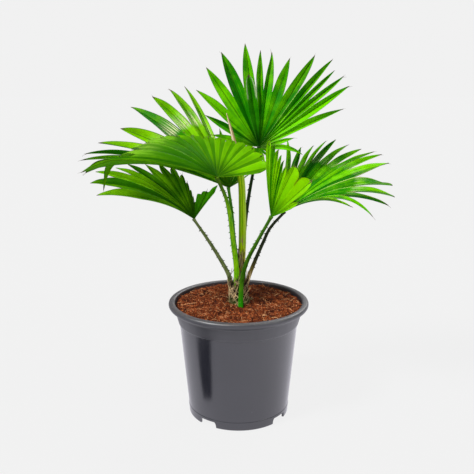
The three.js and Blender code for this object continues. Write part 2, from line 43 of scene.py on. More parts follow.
# ---- sizes in millimetres and degrees ----
# They are the solids' own, but for what is finer here: the thorns, the sheath's wall, the blades' thickness,
# folds and hubs, and the blunt and trim of two fans.
RIM_RADIUS = 95.0
MOUTH_RADIUS = RIM_RADIUS - 8.9
POT_HEIGHT = 159.3
FOOT_RADIUS = 68.5
WALL_TOP_RADIUS = 80.2
COLLAR_BOTTOM = 130.2
COLLAR_BOTTOM_RADIUS = 81.6
COLLAR_TOP = 146.6
COLLAR_TOP_RADIUS = 86.0
WALL = 1.7
FLOOR_UNDERSIDE = 9.6
FLOOR_TOP = 11.6
FOOT_LAND = 2.6
NOTCHES = 4
NOTCH_HEIGHT = 8.8
NOTCH_WIDTH = 27.0
NOTCH_TURN = -37
DRAIN_HOLES = 6
DRAIN_RADIUS = 4.5
DRAIN_CIRCLE = 45.0
DRAIN_DEPTH = 6.0
DRAIN_TURN = 20
POT_SECTORS = 168
MERGED = 0.01

SOIL_LEVEL = 154.6
STEM_CENTRE = (0.5, 1.0)
STEM_TOP = 181.0
STEM_SOIL_RADIUS = 11.4
SHEATH_FOOT = 156.4

STALKS = {
    "stalk_top": dict(
        points=[(4.2, 9.6, 173), (6.7, 12, 238.5), (11.2, 16, 283.1), (19.1, 21, 329.6)],
        blade="blade_top", radius=(3.4, 1.9), thorns=18, side=-1),
    "stalk_front": dict(
        points=[(-2.6, -7, 173), (-3.3, -11, 211.5), (-6.7, -17, 239.1), (-11.7, -33, 285.9),
                (-16, -43.5, 307.8)],
        blade="blade_front", radius=(4.0, 2.2), thorns=36, side=1),
    "stalk_rear": dict(
        points=[(-4.6, 7.6, 173), (-2.9, 12, 209.4), (-6.3, 13.5, 242.5), (-9.2, 15.6, 278.2)],
        blade="blade_rear", radius=(3.2, 2.0), thorns=16, side=1),
    "stalk_left": dict(
        points=[(-8.6, 0, 173), (-13.4, -3.6, 195.5), (-23.5, -7, 216.6), (-39.4, -11, 244.4)],
        blade="blade_left", radius=(3.2, 1.9), thorns=16, side=1),
    "stalk_fore_right": dict(
        points=[(2.6, -14.6, 146), (3, -14.8, 168.9), (4.4, -16.5, 192.5), (10.9, -26, 220.8),
                (22.8, -39, 249)],
        blade="blade_fore_right", radius=(3.6, 2.1), thorns=18, side=-1),
    "stalk_right": dict(
        points=[(9.4, 4.2, 173), (12.7, 6, 186.8), (23, 11, 212.9), (33, 16, 235), (42.5, 21, 253.9)],
        blade="blade_right", radius=(3.0, 1.9), thorns=13, side=1),
}
STALK_INTO_HUB = 1.2
STALK_FLAT = 0.82
THORN_LENGTH = 3.2
THORN_BASE = 1.15
THORNS_FROM = 0.24
THORNS_ALONG = 0.66
THORN_SEAT = 0.8

SPEAR = dict(
    points=[(2.6, 0.4, 173), (3.8, 1, 212.2), (4.9, 2, 242.4), (4.8, 4, 285.6), (3, 5.5, 325.4),
            (-5.3, 8.5, 369.2), (-15.6, 11, 409)],
    radii=(4.2, 4.9, 5, 4.8, 4.4, 2.9, 0.5), flat=0.72)
SPEAR_FOLDS = 9
SPEAR_FOLD_DEPTH = 0.09
SPEAR_SLIMMER = 0.95

BLADE_THICKNESS = 0.55
BLADE_FOLD = 30
HUB_RADIUS = 1.1
TWIST_STEP = 2.7
OUTER_NOTCH = 0.82
HANGING_SLIMS = 4.0
# A fan stands at its hub; its middle points out and its upper side looks to face. Its leaflets rise by lift
# and bend down by curl over size; both are degrees for a leaflet at 0, plus terms in angle / 100 and its
# square. They are united up to a share of their lengths, from the first to the last, and past it taper,
# spread and twist. leaflets are (angle, length); bend, blunt and trim belong to single ones.
BLADES = {
    "blade_top": dict(
        hub=(27, 25, 363.7), out=(0.05, 0.22, 1), face=(0, -1, 0.3),
        lift=(12, 0, 6), curl=(34, 0, 10), size=140, united=(0.56, 0.6), taper=2, spread=0.1, twist=26,
        leaflets=[(-79.6, 64.8), (-63, 82.9), (-51, 112.6), (-36.5, 128.1), (-24.6, 137.6), (-10.5, 141.3),
                  (-1.9, 129.4), (4.9, 127.7), (16.4, 125.2), (28.5, 146.1), (37.2, 158.5), (41.8, 147.1),
                  (47.2, 151.5), (53.1, 148.8), (63.1, 122.7), (74, 48), (88, 60.6), (112, 30)],
        bend={16: (0, 0, -0.7), 17: (-1.2, -0.3, -1.6)}),
    "blade_front": dict(
        hub=(-26, -58, 336.8), out=(-0.9, 0.41, 0.128), face=(-0.101, -0.4, 0.92),
        lift=(32.3, -5.5, -13.3), curl=(63.3, 57.7, -83.3), size=130, united=(0.8, 0.9), taper=1.7,
        spread=0.2, twist=10,
        leaflets=[(-41.9, 168.8), (-36, 164.9), (-30, 171.2), (-22, 125.2), (-7.1, 117.8), (8, 115.9),
                  (20, 110.9), (29, 93.8), (40.5, 82), (54.6, 73.4), (68.2, 69.9), (81.7, 68.1), (93.9, 69.5),
                  (106.6, 69.4), (121.8, 67.9), (140.5, 66.8)],
        bend={0: (0, 0, -0.23), 1: (0, 0, -0.46), 2: (0.38, 0.95, -3.16)}),
    "blade_rear": dict(
        hub=(-12.8, 16, 310.4), out=(-0.75, 0.19, 0.62), face=(0.3, -0.8, 0.5),
        lift=(14, 0, 0), curl=(40, 0, 0), size=160, united=(0.62, 0.44), taper=2.3, spread=0.1, twist=24,
        leaflets=[(-28.3, 201), (-25.9, 201.8), (-21, 189.9), (-11.9, 169.6), (1.4, 182.2), (12.3, 174.7),
                  (21.7, 173.4), (29.2, 170.2), (40, 84), (52, 80), (65, 70), (80, 52), (94, 44),
                  (104.5, 34.6)],
        bend={0: (0, -0.5, 0), 1: (0, -0.25, 0), 2: (0, -0.05, 0)}),
    "blade_left": dict(
        hub=(-57.7, -15, 274.5), out=(-0.848, 0.34, 0.406), face=(0.025, -0.74, 0.672),
        lift=(52, -12, 0), curl=(58, 12, 0), size=120, united=(0.76, 0.96), taper=1.6, spread=0.2, twist=14,
        leaflets=[(-34.2, 142.3), (-24, 153.8), (-15.3, 152.7), (-9.8, 127.2), (-3, 117), (6.1, 97.8),
                  (17.5, 87.2), (27.8, 77.9), (38, 66), (43.5, 54.5), (49, 43), (54.5, 33.5), (60, 25),
                  (67.9, 36.8), (87.6, 43.6), (98.4, 54.4)],
        blunt={k: 5.0 for k in range(7, 15)},
        trim={7: 0.95, 8: 0.92, 9: 0.91, 10: 0.91, 11: 0.91, 12: 0.93, 13: 0.93, 14: 0.92},
        bend={}),
    "blade_fore_right": dict(
        hub=(39.9, -57, 286.1), out=(0.35, -0.2, 0.9), face=(-0.25, -0.9, 0.25),
        lift=(10, 0, 10), curl=(40, 40, 0), size=100, united=(0.97, 0.66), taper=2.6, spread=1, twist=8,
        leaflets=[(-25.1, 97.6), (-21, 92), (-17.3, 86.5), (-13.9, 81), (-10.6, 75), (-7, 69.5), (0.8, 74.4),
                  (22.5, 72.8), (34, 44)],
        blunt={6: 4.0, 7: 5.0},
        bend={}),
    "blade_right": dict(
        hub=(61.7, 28, 275.3), out=(0.956, 0.065, 0.286), face=(-0.216, -0.502, 0.838),
        lift=(28, 21, 17), curl=(30, 0, 0), size=130, united=(0.58, 0.66), taper=2.2, spread=0.2, twist=24,
        leaflets=[(-67.7, 126.2), (-60.5, 113.5), (-51.8, 118.8), (-45.8, 134.4), (-41, 143.1),
                  (-30.5, 138.1), (-20.4, 142.7), (-13.2, 151.7), (-8.4, 156.9), (3.1, 168.6),
                  (23.5, 169.4), (33.6, 176.3), (41.6, 170), (45.9, 163), (50.7, 137.3)],
        bend={0: (-0.3, -0.3, 0), 9: (0, 1, -0.1), 10: (0, 1.3, -0.35), 11: (0, 1.2, -0.35),
              12: (0, 0.7, -0.3), 13: (0, 0, -0.7), 14: (0, 0, -0.3)}),
}


# ---- short hand for node trees ----
TURN = 2 * math.pi


class Wire:
    """An output socket that can be added, scaled and raised like a number."""

    def __init__(self, graph, socket):
        self.graph, self.socket = graph, socket

    def __add__(self, other):
        return self.graph.maths("ADD", self, other)

    def __sub__(self, other):
        return self.graph.maths("SUBTRACT", self, other)

    def __rsub__(self, other):
        return self.graph.maths("SUBTRACT", other, self)

    def __mul__(self, other):
        return self.graph.maths("MULTIPLY", self, other)

    def __truediv__(self, other):
        return self.graph.maths("DIVIDE", self, other)

    def __pow__(self, other):
        return self.graph.maths("POWER", self, other)


class Graph:
    """A node tree and short calls that add nodes to it."""

    def __init__(self, tree):
        self.tree = tree

    def add(self, kind, inputs=None, out=0, **settings):
        node = self.tree.nodes.new(kind)
        for key, value in settings.items():
            setattr(node, key, value)
        for key, value in (inputs or {}).items():
            self.feed(node.inputs[key], value)
        return Wire(self, node.outputs[out]) if len(node.outputs) else node

    def feed(self, socket, value):
        if isinstance(value, Wire):
            self.tree.links.new(value.socket, socket)
        else:
            socket.default_value = value

    def other(self, wire, name):
        """Another output of the node that a wire comes from."""
        return Wire(self, wire.socket.node.outputs[name])

    def maths(self, kind, *values):
        vectors = [isinstance(v, tuple) or isinstance(v, Wire) and v.socket.type == "VECTOR" for v in values]
        if not any(vectors):
            return self.add("ShaderNodeMath", dict(enumerate(values)), operation=kind)
        if kind == "MULTIPLY" and not all(vectors):
            vector, scale = values if vectors[0] else values[::-1]
            return self.add("ShaderNodeVectorMath", {0: vector, 3: scale}, operation="SCALE")
        out = 1 if kind in ("LENGTH", "DOT_PRODUCT") else 0
        return self.add("ShaderNodeVectorMath", dict(enumerate(values)), out=out, operation=kind)

    def xyz(self, x=0.0, y=0.0, z=0.0):
        return self.add("ShaderNodeCombineXYZ", {0: x, 1: y, 2: z})

    def around(self, angle, radius, x=0.0, y=0.0, z=0.0):
        """A place at an angle and a radius from an upright line."""
        return self.xyz(self.maths("COSINE", angle) * radius + x, self.maths("SINE", angle) * radius + y, z)

    def split(self, vector):
        node = self.add("ShaderNodeSeparateXYZ", {0: vector}).socket.node
        return [Wire(self, s) for s in node.outputs]

    def noise(self, vector, scale, detail=2.0, roughness=0.5, out=0):
        inputs = {"Vector": vector, "Scale": scale, "Detail": detail, "Roughness": roughness}
        return self.add("ShaderNodeTexNoise", inputs, out=out)

    def drawn(self, x, y, z, detail=2.0, roughness=0.5):
        """Noise that is drawn out along some of its three directions."""
        return self.noise(self.xyz(x, y, z), 1.0, detail, roughness)

    def ramp(self, value, low, high, to_low=0.0, to_high=1.0, smooth=True):
        inputs = {"Value": value, "From Min": low, "From Max": high, "To Min": to_low, "To Max": to_high}
        return self.add("ShaderNodeMapRange", inputs, interpolation_type="SMOOTHSTEP" if smooth else "LINEAR")


# ---- materials ----
def rgb(red, green, blue):
    """A display colour, 0 to 255, as Blender's own numbers."""
    def straight(c):
        c /= 255
        return c / 12.92 if c <= 0.04045 else ((c + 0.055) / 1.055) ** 2.4
    return (straight(red), straight(green), straight(blue), 1.0)


def grey(value):
    return (value, value, value, 1.0)


DRY_TIP = rgb(112, 94, 72)
LEAF_GLOSS = 0.04
LEAF_THROUGH = 0.36
STALK_GLOSS = 0.12
SPEAR_THROUGH = 0.12


class Finish(Graph):
    """A material in the making. Its colour is laid on in coats."""

    def __init__(self, name):
        self.material = bpy.data.materials.new(name)
        self.material.use_nodes = True
        super().__init__(self.material.node_tree)
        self.tree.nodes.clear()
        self.place = self.add("ShaderNodeTexCoord", out="Object")
        self.colour = None

    def attributes(self, *names):
        return [self.add("ShaderNodeAttribute", out="Fac", attribute_name=name) for name in names]

    def mix(self, share, first, second):
        return self.add("ShaderNodeMix", {0: share, 6: first, 7: second}, out=2, data_type="RGBA")

    def coat(self, share, colour):
        self.colour = self.mix(share, self.colour, colour)

    def bump(self, height, strength, distance, below=None):
        inputs = {"Height": height, "Strength": strength, "Distance": distance}
        if below is not None:
            inputs["Normal"] = below
        return self.add("ShaderNodeBump", inputs)

    def surface(self, roughness, normal, specular, through=None, share=0.0):
        inputs = {"Base Color": self.colour, "Roughness": roughness, "Normal": normal}
        shader = self.add("ShaderNodeBsdfPrincipled", {**inputs, "Specular IOR Level": specular})
        if through is not None:
            behind = self.add("ShaderNodeBsdfTranslucent", {"Color": through, "Normal": normal})
            shader = self.add("ShaderNodeMixShader", {0: share, 1: shader, 2: behind})
        self.add("ShaderNodeOutputMaterial", {"Surface": shader})
        return self.material


def pot_plastic():
    """Glossy moulded plastic with upright flow lines, fine grain, scuffs, a duller collar and a dusty rim."""
    m = Finish("moulded_pot_plastic")
    x, y, z = m.split(m.place)
    cloud = m.noise(m.place, 26.0, 3.0)
    flow = m.drawn(x * 160.0, y * 160.0, z * 6.0, 3.0, 0.6)
    grain = m.noise(m.place, 2600.0, 2.0, 0.6)
    scuff = m.ramp(m.drawn(x * 90.0, y * 90.0, z * 420.0, 5.0, 0.72), 0.66, 0.8)
    speck = m.ramp(m.noise(m.place, 340.0, 4.0, 0.7), 0.45, 0.7)
    dust = m.ramp(z, (POT_HEIGHT - 3.0) * MM, POT_HEIGHT * MM) * speck
    m.colour = m.mix(cloud, rgb(24, 25, 31), rgb(34, 34, 42))
    m.coat(scuff * 0.35, rgb(96, 95, 98))
    m.coat(dust * 0.35, rgb(116, 92, 76))
    collar = m.ramp(z, (COLLAR_BOTTOM - 1.0) * MM, (COLLAR_BOTTOM + 3.0) * MM)
    rough = m.ramp(flow, 0.3, 0.7, 0.17, 0.24, False) + collar * 0.24 + scuff * 0.16 + dust * 0.2
    return m.surface(rough, m.bump(grain, 0.12, 0.00006, m.bump(flow, 0.16, 0.0004)), 1.0)


def coir(name, dark, mid, bright, bump=0.9):
    """Coir in three browns: clumps, straw-coloured bits and dark specks."""
    m = Finish(name)
    clump = m.noise(m.place, 95.0, 4.0, 0.65)
    speck = m.noise(m.place, 900.0, 3.0, 0.7)
    straw = m.noise(m.place, 420.0, 2.0, 0.5)
    tone, = m.attributes("tone")
    m.colour = m.mix(m.ramp(clump + tone * 0.4, 0.42, 0.9), dark, mid)
    m.coat(m.ramp(straw * 0.6 + tone * 0.5, 0.62, 0.86), bright)
    m.coat(m.ramp(speck, 0.55, 0.8) * 0.5, dark)
    return m.surface(m.ramp(speck, 0.2, 0.8, 0.8, 0.98), m.bump(speck + clump, bump, 0.0008), 0.12)


def fibre_brown(name, dark, light, bump=0.8):
    """Old leaf-base fibre: drawn-out streaks from dark brown to straw, with moss at the soil."""
    m = Finish(name)
    x, y, z = m.split(m.place)
    streak = m.drawn(x * 900.0, y * 900.0, z * 90.0, 4.0, 0.65)
    patch = m.noise(m.place, 190.0, 3.0, 0.6)
    tone, = m.attributes("tone")
    moss = m.ramp(z, (SOIL_LEVEL + 14.0) * MM, (SOIL_LEVEL + 2.0) * MM) * m.ramp(patch, 0.34, 0.5)
    m.colour = m.mix(m.ramp(streak * 0.6 + tone * 0.55, 0.4, 0.85), dark, light)
    m.coat(m.ramp(patch, 0.55, 0.75) * 0.6, dark)
    m.coat(moss * 0.85, rgb(52, 74, 12))
    return m.surface(m.ramp(streak, 0.2, 0.8, 0.62, 0.9), m.bump(streak, bump, 0.0005), 0.2)


def stalk_skin(name, deep, bright, foot, edge, foot_reach, head_shade=0.0):
    """Leaf stalk: lengthwise grain, painted shade along the left and right edges (a painted highlight there
    on some stalks), old foot, painted shade at the top under the fan if asked, brown thorns.
    """
    m = Finish(name)
    deep, bright, foot, edge = (rgb(*c) for c in (deep, bright, foot, edge))
    rise, turn, thorn = m.attributes("rise", "turn", "thorn")
    grain = m.drawn(turn * 9.0, rise * 14.0, 0.7, 4.0, 0.6)
    blotch = m.noise(m.place, 130.0, 3.0, 0.6)
    # the left and right edges take the edge colour: painted shade on most stalks, painted light on some
    side = m.ramp(m.maths("ABSOLUTE", m.maths("COSINE", turn * TURN)), 0.78, 0.99)
    m.colour = m.mix(m.ramp(grain, 0.3, 0.7), deep, bright)
    m.coat(m.ramp(blotch, 0.52, 0.75) * 0.45, deep)
    m.coat(side * 0.75, edge)
    # painted shade at the top of the stalk, under its fan
    m.coat(m.ramp(rise + grain * 0.05, 0.7, 0.96) * head_shade, rgb(40, 66, 6))
    m.coat(m.ramp(rise + blotch * 0.05, foot_reach, 0.02), foot)
    m.coat(m.ramp(thorn, 0.25, 0.8), rgb(48, 30, 14))
    normal = m.bump(m.noise(m.place, 1500.0, 2.0), 0.15, 0.0001, m.bump(grain, 0.5, 0.0003))
    return m.surface(m.ramp(grain, 0.2, 0.8, 0.34, 0.5), normal, STALK_GLOSS)


def spear_skin():
    """Unopened leaf: painted shade between folds, olive in painted shade at the left, pale at the right,
    yellow below and dry above, the dry part with a painted highlight band.
    """
    m = Finish("spear_leaf_skin")
    rise, turn = m.attributes("rise", "turn")
    grain = m.drawn(turn * 26.0, rise * 9.0, 0.3, 4.0, 0.6)
    blotch = m.noise(m.place, 120.0, 3.0, 0.6)
    m.colour = m.mix(m.ramp(grain, 0.3, 0.7), rgb(166, 232, 0), rgb(226, 252, 20))
    # painted shade in the valleys between the folds
    m.coat(m.ramp(m.maths("COSINE", turn * (TURN * SPEAR_FOLDS)), 0.1, -1.0) * 0.42, rgb(78, 132, 2))
    # painted shade at the left side, olive
    m.coat(m.ramp(turn, 0.16, 0.07) * 0.45, rgb(100, 122, 10))
    m.coat(m.ramp(turn + grain * 0.1, 0.34, 0.46) * 0.5, rgb(206, 224, 110))
    m.coat(m.ramp(rise + blotch * 0.06, 0.36, 0.1) * 0.85, rgb(250, 238, 0))
    fuzz = m.ramp(grain, 0.44, 0.6) * m.ramp(rise, 0.28, 0.34, 1.0, 0.0) * m.ramp(blotch, 0.4, 0.55)
    m.coat(fuzz, rgb(196, 164, 110))
    # painted highlight: the dry top is pale in a band near the left and brown beside it
    lit = m.ramp(turn, 0.08, 0.15) * m.ramp(turn, 0.3, 0.2) * 0.6 + m.ramp(grain, 0.35, 0.7) * 0.4
    dry = m.ramp(rise + grain * 0.16, 0.72, 0.95)
    m.coat(dry, m.mix(lit, rgb(150, 110, 56), rgb(255, 244, 206)))
    normal = m.bump(grain, 0.6, 0.0004)
    return m.surface(m.ramp(grain, 0.2, 0.8, 0.36, 0.55), normal, STALK_GLOSS, m.colour, SPEAR_THROUGH)


def leaf_skin(name, greens, tone_and_fold_light, pale=0.0, outer=0.0, sided_shade=0.0, painted_sunlight=None, split=None, crest_highlight=None,
              rim=(70, 62, 18), rim_from=0.84, rim_start=0.0):
    """Fan leaf: a green for each half of a leaflet, lighter and darker at random as painted light and shade
    of the fold, lengthwise veins, painted shade in the valleys and at the hub, light ridges, dry tips.

    greens are deep, mid, bright, ridge line, light that shines through, and hub, the colour of the painted
    shade at the hub and in the valleys. vary is how much the leaflets differ in tone and how strong the
    painted light and shade of the fold on each half is, pale the worn streaks past the notches, outer the
    darker ends, and sided the painted shade on one half of each pleat near the hub. sunny and crest are a
    first and a last leaflet and their colour: sunny a painted sunlit glow, crest a painted highlight along
    the fold's top. split is a ridge with a pale slit, a painted highlight. The rim's colour starts at
    rim_from across the leaflet and at rim_start along its free end.
    """
    m = Finish(name)
    deep, mid, bright, line, glow, hub = (rgb(*c) for c in greens)
    fan, reach, tip = m.attributes("fan", "reach", "tip")

    def dice(number):
        return m.add("ShaderNodeTexWhiteNoise", {"W": number}, noise_dimensions="1D")

    part = m.maths("FRACT", fan)
    across = m.maths("ABSOLUTE", part * 2.0 - 1.0)
    leaflet = (dice(m.maths("FLOOR", fan)) - 0.5) * tone_and_fold_light + 0.5
    # painted light and shade of the fold: each half of a leaflet lighter or darker at random
    half = (dice(m.maths("FLOOR", fan * 2.0) + 0.5) - 0.5) * tone_and_fold_light + 0.5
    ridge = m.ramp(dice(m.maths("FLOOR", fan + 0.5) + 0.25), 0.35, 0.75)
    vein = m.drawn(fan * 17.0, reach * 9.0, 0.0, 3.0, 0.62)
    fine = m.drawn(fan * 60.0, reach * 16.0, 4.0, 2.0, 0.6)
    sweep = m.drawn(fan * 1.3, reach * 22.0, 9.0, 3.0, 0.6)
    mottle = m.noise(m.place, 42.0, 3.0, 0.6)
    free = m.ramp(tip, 0.0, 0.08)
    m.colour = m.mix(m.ramp(half * 0.4 + leaflet * 0.2 + vein * 0.35 + sweep * 0.35, 0.4, 0.9), deep, mid)
    tone = leaflet * 0.3 + half * 0.2 + mottle * 0.45 + vein * 0.4 + tip * 0.1
    m.coat(m.ramp(tone, 0.6, 0.88), bright)
    # painted sunlight: a sunlit yellow-green glow painted over a run of leaflets
    if painted_sunlight:
        start, end, painted_sunlight_colour = painted_sunlight
        share = m.ramp(sweep, 0.3, 0.6) * 0.4 + 0.45
        m.coat(m.ramp(fan + vein * 0.6, start, end) * share, rgb(*painted_sunlight_colour))
    # painted shade on one half of each pleat near the hub
    m.coat(m.ramp(part, 0.42, 0.62) * m.ramp(reach, 0.1, 0.05) * sided_shade, deep)
    m.coat(m.ramp(tip + vein * 0.2, 0.3, 0.85) * outer, deep)
    m.coat(m.ramp(fine, 0.5, 0.8) * 0.35, deep)
    # painted shade in the valley down the middle of each leaflet
    m.coat(m.ramp(across, 0.14, 0.0) * 0.65, hub)
    # painted shade near the hub
    m.coat(m.ramp(reach + vein * 0.012, 0.042, 0.012) * 0.85, hub)
    streak = m.ramp(m.drawn(fan * 26.0, reach * 5.0, 2.0), 0.5, 0.6)
    m.coat(streak * m.ramp(tip, 0.45, 0.08) * m.ramp(tip, 0.0, 0.1) * pale, rgb(236, 236, 186))
    spots = m.ramp(m.noise(m.place, 260.0, 2.0, 0.6), 0.6, 0.68)
    m.coat(spots * m.ramp(tip, 0.4, 0.05) * m.ramp(reach, 0.05, 0.075) * pale * 0.7, rgb(96, 64, 24))
    m.coat(m.ramp(across, 0.9, 0.985) * ridge * (1.0 - free) * 0.8, line)
    m.coat(m.ramp(across, rim_from, 0.99) * m.ramp(tip, rim_start, rim_start + 0.08) * 0.65, rgb(*rim))
    # painted highlight along the top of the folds over a run of leaflets
    if crest_highlight:
        start, end, crest_highlight_colour = crest_highlight
        along = m.ramp(fan, start - 0.5, start + 0.5) * m.ramp(fan, end + 0.5, end - 0.5)
        along = along * m.ramp(fine * 0.5 + vein * 0.5, 0.4, 0.6)
        m.coat(along * m.ramp(reach + sweep * 0.02, 0.084, 0.112) * 0.45, rgb(*crest_highlight_colour))
    # a pale slit painted along a ridge, a painted highlight
    if split:
        slit = m.ramp(m.maths("ABSOLUTE", fan - split), 0.16, 0.05) * m.ramp(reach, 0.016, 0.03)
        m.coat(slit * m.ramp(reach + vein * 0.02, 0.1, 0.09), rgb(236, 240, 214))
    dry = m.ramp(tip + vein * 0.1 + leaflet * 0.05, 0.96, 1.06)
    m.coat(dry, DRY_TIP)
    through = m.mix(m.ramp(vein, 0.3, 0.7) * 0.6, glow, m.colour)
    # painted shade in the valleys, also in the light that shines through
    through = m.mix(m.ramp(across, 0.2, 0.0) * 0.5, through, hub)
    through = m.mix(dry, through, DRY_TIP)
    height = vein * 0.7 + fine * 0.3 + m.ramp(across, 0.1, 0.02) * 0.8
    rough = m.ramp(vein, 0.25, 0.75, 0.36, 0.5) + dry * 0.3
    return m.surface(rough, m.bump(height, 0.5, 0.0006), LEAF_GLOSS, through, LEAF_THROUGH)


def thread_skin():
    """Dry thread: brown to pale straw, darker towards its end."""
    m = Finish("dry_thread")
    tone, far = m.attributes("tone", "far")
    grain = m.noise(m.place, 700.0, 2.0, 0.6)
    m.colour = m.mix(m.ramp(tone + grain * 0.2, 0.35, 0.9), rgb(84, 66, 44), rgb(222, 214, 160))
    m.coat(m.ramp(far, 0.5, 1.0) * 0.6, rgb(92, 80, 70))
    return m.surface(m.ramp(grain, 0.2, 0.8, 0.6, 0.85), m.bump(grain, 0.4, 0.0002), 0.15)


# ---- pieces: making, joining the frame ----
scene = bpy.context.scene


def put(name, mesh, *skins):
    obj = bpy.data.objects.new(name, mesh)
    scene.collection.objects.link(obj)
    for skin in skins:
        mesh.materials.append(skin)
    return obj


def soften(mesh, angle):
    mesh.polygons.foreach_set("use_smooth", [True] * len(mesh.polygons))
    mesh.set_sharp_from_angle(angle=math.radians(angle))


def dress(obj, slot, *nodes):
    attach(obj, "root")
    if nodes:
        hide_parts(*nodes)


def keep_attributes(mesh, **rows):
    for name, values in rows.items():
        layer = mesh.attributes.new(name, "FLOAT", "POINT")
        layer.data.foreach_set("value", np.asarray(values, dtype=np.float32))


def mesh_of(name, points_mm, faces, edges=()):
    mesh = bpy.data.meshes.new(name)
    mesh.from_pydata((np.asarray(points_mm) * MM).tolist(), list(edges), faces)
    mesh.update()
    return mesh


def settle(obj, tree, values):
    """Runs a Geometry Nodes tree on an object and keeps the result as its plain mesh."""
    modifier = obj.modifiers.new("shape", "NODES")
    modifier.node_group = tree
    for item in tree.interface.items_tree:
        if item.item_type == "SOCKET" and item.in_out == "INPUT" and item.name in values:
            modifier[item.identifier] = values[item.name]
    bpy.context.view_layer.update()
    graph = bpy.context.evaluated_depsgraph_get()
    shaped = obj.evaluated_get(graph)
    mesh = bpy.data.meshes.new_from_object(shaped, preserve_all_data_layers=True, depsgraph=graph)
    old = obj.data
    obj.modifiers.clear()
    obj.data = mesh
    mesh.name = obj.name
    bpy.data.meshes.remove(old)
    return obj


class Recipe(Graph):
    """A Geometry Nodes tree with named inputs: a Shape, and those that it is given as name and kind."""

    def __init__(self, name, **inputs):
        super().__init__(bpy.data.node_groups.new(name, "GeometryNodeTree"))
        for key, kind in {"Shape": "Geometry", **inputs, "Skin": "Material"}.items():
            self.tree.interface.new_socket(key, in_out="INPUT", socket_type="NodeSocket" + kind)
        self.tree.interface.new_socket("Shape", in_out="OUTPUT", socket_type="NodeSocketGeometry")
        self.entry = self.tree.nodes.new("NodeGroupInput")

    def __getitem__(self, name):
        """A named input of the tree."""
        return Wire(self, self.entry.outputs[name])

    def geo(self, kind, inputs=None, out=0, **settings):
        return self.add("GeometryNode" + kind, inputs, out, **settings)

    def named(self, name):
        return self.geo("InputNamedAttribute", {"Name": name}, data_type="FLOAT")

    def store(self, geometry, name, value):
        inputs = {"Geometry": geometry, "Name": name, "Value": value}
        return self.geo("StoreNamedAttribute", inputs, data_type="FLOAT", domain="POINT")

    def chance(self, low, high, seed, number=None):
        """A random number, or three of them between two tuples."""
        first, kind = (0, "FLOAT_VECTOR") if isinstance(low, tuple) else (2, "FLOAT")
        inputs = {first: low, first + 1: high, "Seed": seed}
        if number is not None:
            inputs["ID"] = number
        return self.add("FunctionNodeRandomValue", inputs, out=first // 2, data_type=kind)

    def moved(self, geometry, **to):
        return self.geo("SetPosition", {"Geometry": geometry, **to})

    def copies(self, points, piece, **how):
        """Real copies of a piece on points."""
        copies = self.geo("InstanceOnPoints", {"Points": points, "Instance": piece, **how})
        return self.geo("RealizeInstances", {0: copies})

    def line(self, start, end, count):
        line = self.geo("CurvePrimitiveLine", {"Start": start, "End": end})
        return self.geo("ResampleCurve", {"Curve": line, "Count": count})

    def tube(self, curve, sides, radius, **how):
        section = self.geo("CurvePrimitiveCircle", {"Resolution": sides, "Radius": radius})
        return self.geo("CurveToMesh", {"Curve": curve, "Profile Curve": section, "Fill Caps": True, **how})

    def end(self, geometry):
        shape = self.geo("RealizeInstances", {0: geometry})
        shape = self.geo("SetMaterial", {"Geometry": shape, "Material": self["Skin"]})
        out = self.tree.nodes.new("NodeGroupOutput")
        self.tree.links.new(shape.socket, out.inputs[0])
        return self.tree


# ---- pot ----
def rounded(profile, corners):
    """A profile in which each named corner is turned into a small arc of points."""
    out = []
    count = len(profile)
    for k, p in enumerate(profile):
        size = corners.get(k)
        if not size:
            out.append(p)
            continue
        here = np.array(p, float)

        def towards(q):
            way = np.array(q, float) - here
            return here + way / np.linalg.norm(way) * min(size, np.linalg.norm(way) * 0.45)
        a, b = towards(profile[k - 1]), towards(profile[(k + 1) % count])
        for t in np.linspace(0, 1, 5):
            out.append(tuple((1 - t) ** 2 * a + 2 * t * (1 - t) * here + t * t * b))
    return out


def pot_profile():
    slope = (WALL_TOP_RADIUS - FOOT_RADIUS) / (COLLAR_BOTTOM - 4.8)
    band = NOTCH_HEIGHT + 3.4
    wall_at = FOOT_RADIUS - 0.1 + slope * (band - 4.0)
    points = [
        (0, FLOOR_UNDERSIDE),
        (FOOT_RADIUS - FOOT_LAND - 0.3, FLOOR_UNDERSIDE),
        (FOOT_RADIUS - FOOT_LAND - 0.6, 0),
        (FOOT_RADIUS - 0.7, 0),
        (FOOT_RADIUS + 0.25, 1.2),
        (FOOT_RADIUS + 0.35, 4.0),
        (wall_at + 0.45, band - 0.5),
        (wall_at, band + 0.3),
        (WALL_TOP_RADIUS, COLLAR_BOTTOM - 0.8),
        (COLLAR_BOTTOM_RADIUS, COLLAR_BOTTOM),
        (COLLAR_TOP_RADIUS, COLLAR_TOP),
        (COLLAR_TOP_RADIUS + 1.2, COLLAR_TOP + 2.0),
        (RIM_RADIUS - 2.2, COLLAR_TOP + 5.2),
        (RIM_RADIUS - 0.4, COLLAR_TOP + 7.4),
        (RIM_RADIUS, POT_HEIGHT - 3.2),
        (RIM_RADIUS - 0.9, POT_HEIGHT - 0.9),
        (RIM_RADIUS - 3.0, POT_HEIGHT),
        (RIM_RADIUS - 7.2, POT_HEIGHT - 0.1),
        (RIM_RADIUS - 8.6, POT_HEIGHT - 1.2),
        (MOUTH_RADIUS, COLLAR_TOP + 4.0),
        (COLLAR_TOP_RADIUS - WALL, COLLAR_TOP - 1.0),
        (COLLAR_BOTTOM_RADIUS - WALL, COLLAR_BOTTOM),
        (WALL_TOP_RADIUS - WALL, COLLAR_BOTTOM - 2.0),
        (FOOT_RADIUS - WALL + 0.6, FLOOR_TOP),
        (0, FLOOR_TOP),
    ]
    return rounded(points, {3: 0.4, 4: 0.6, 6: 0.3, 7: 0.3, 8: 0.4, 9: 0.5, 10: 1.0, 11: 1.2, 12: 1.6,
                            13: 1.6, 14: 1.4, 15: 1.2, 16: 1.2, 17: 0.9, 18: 0.9})


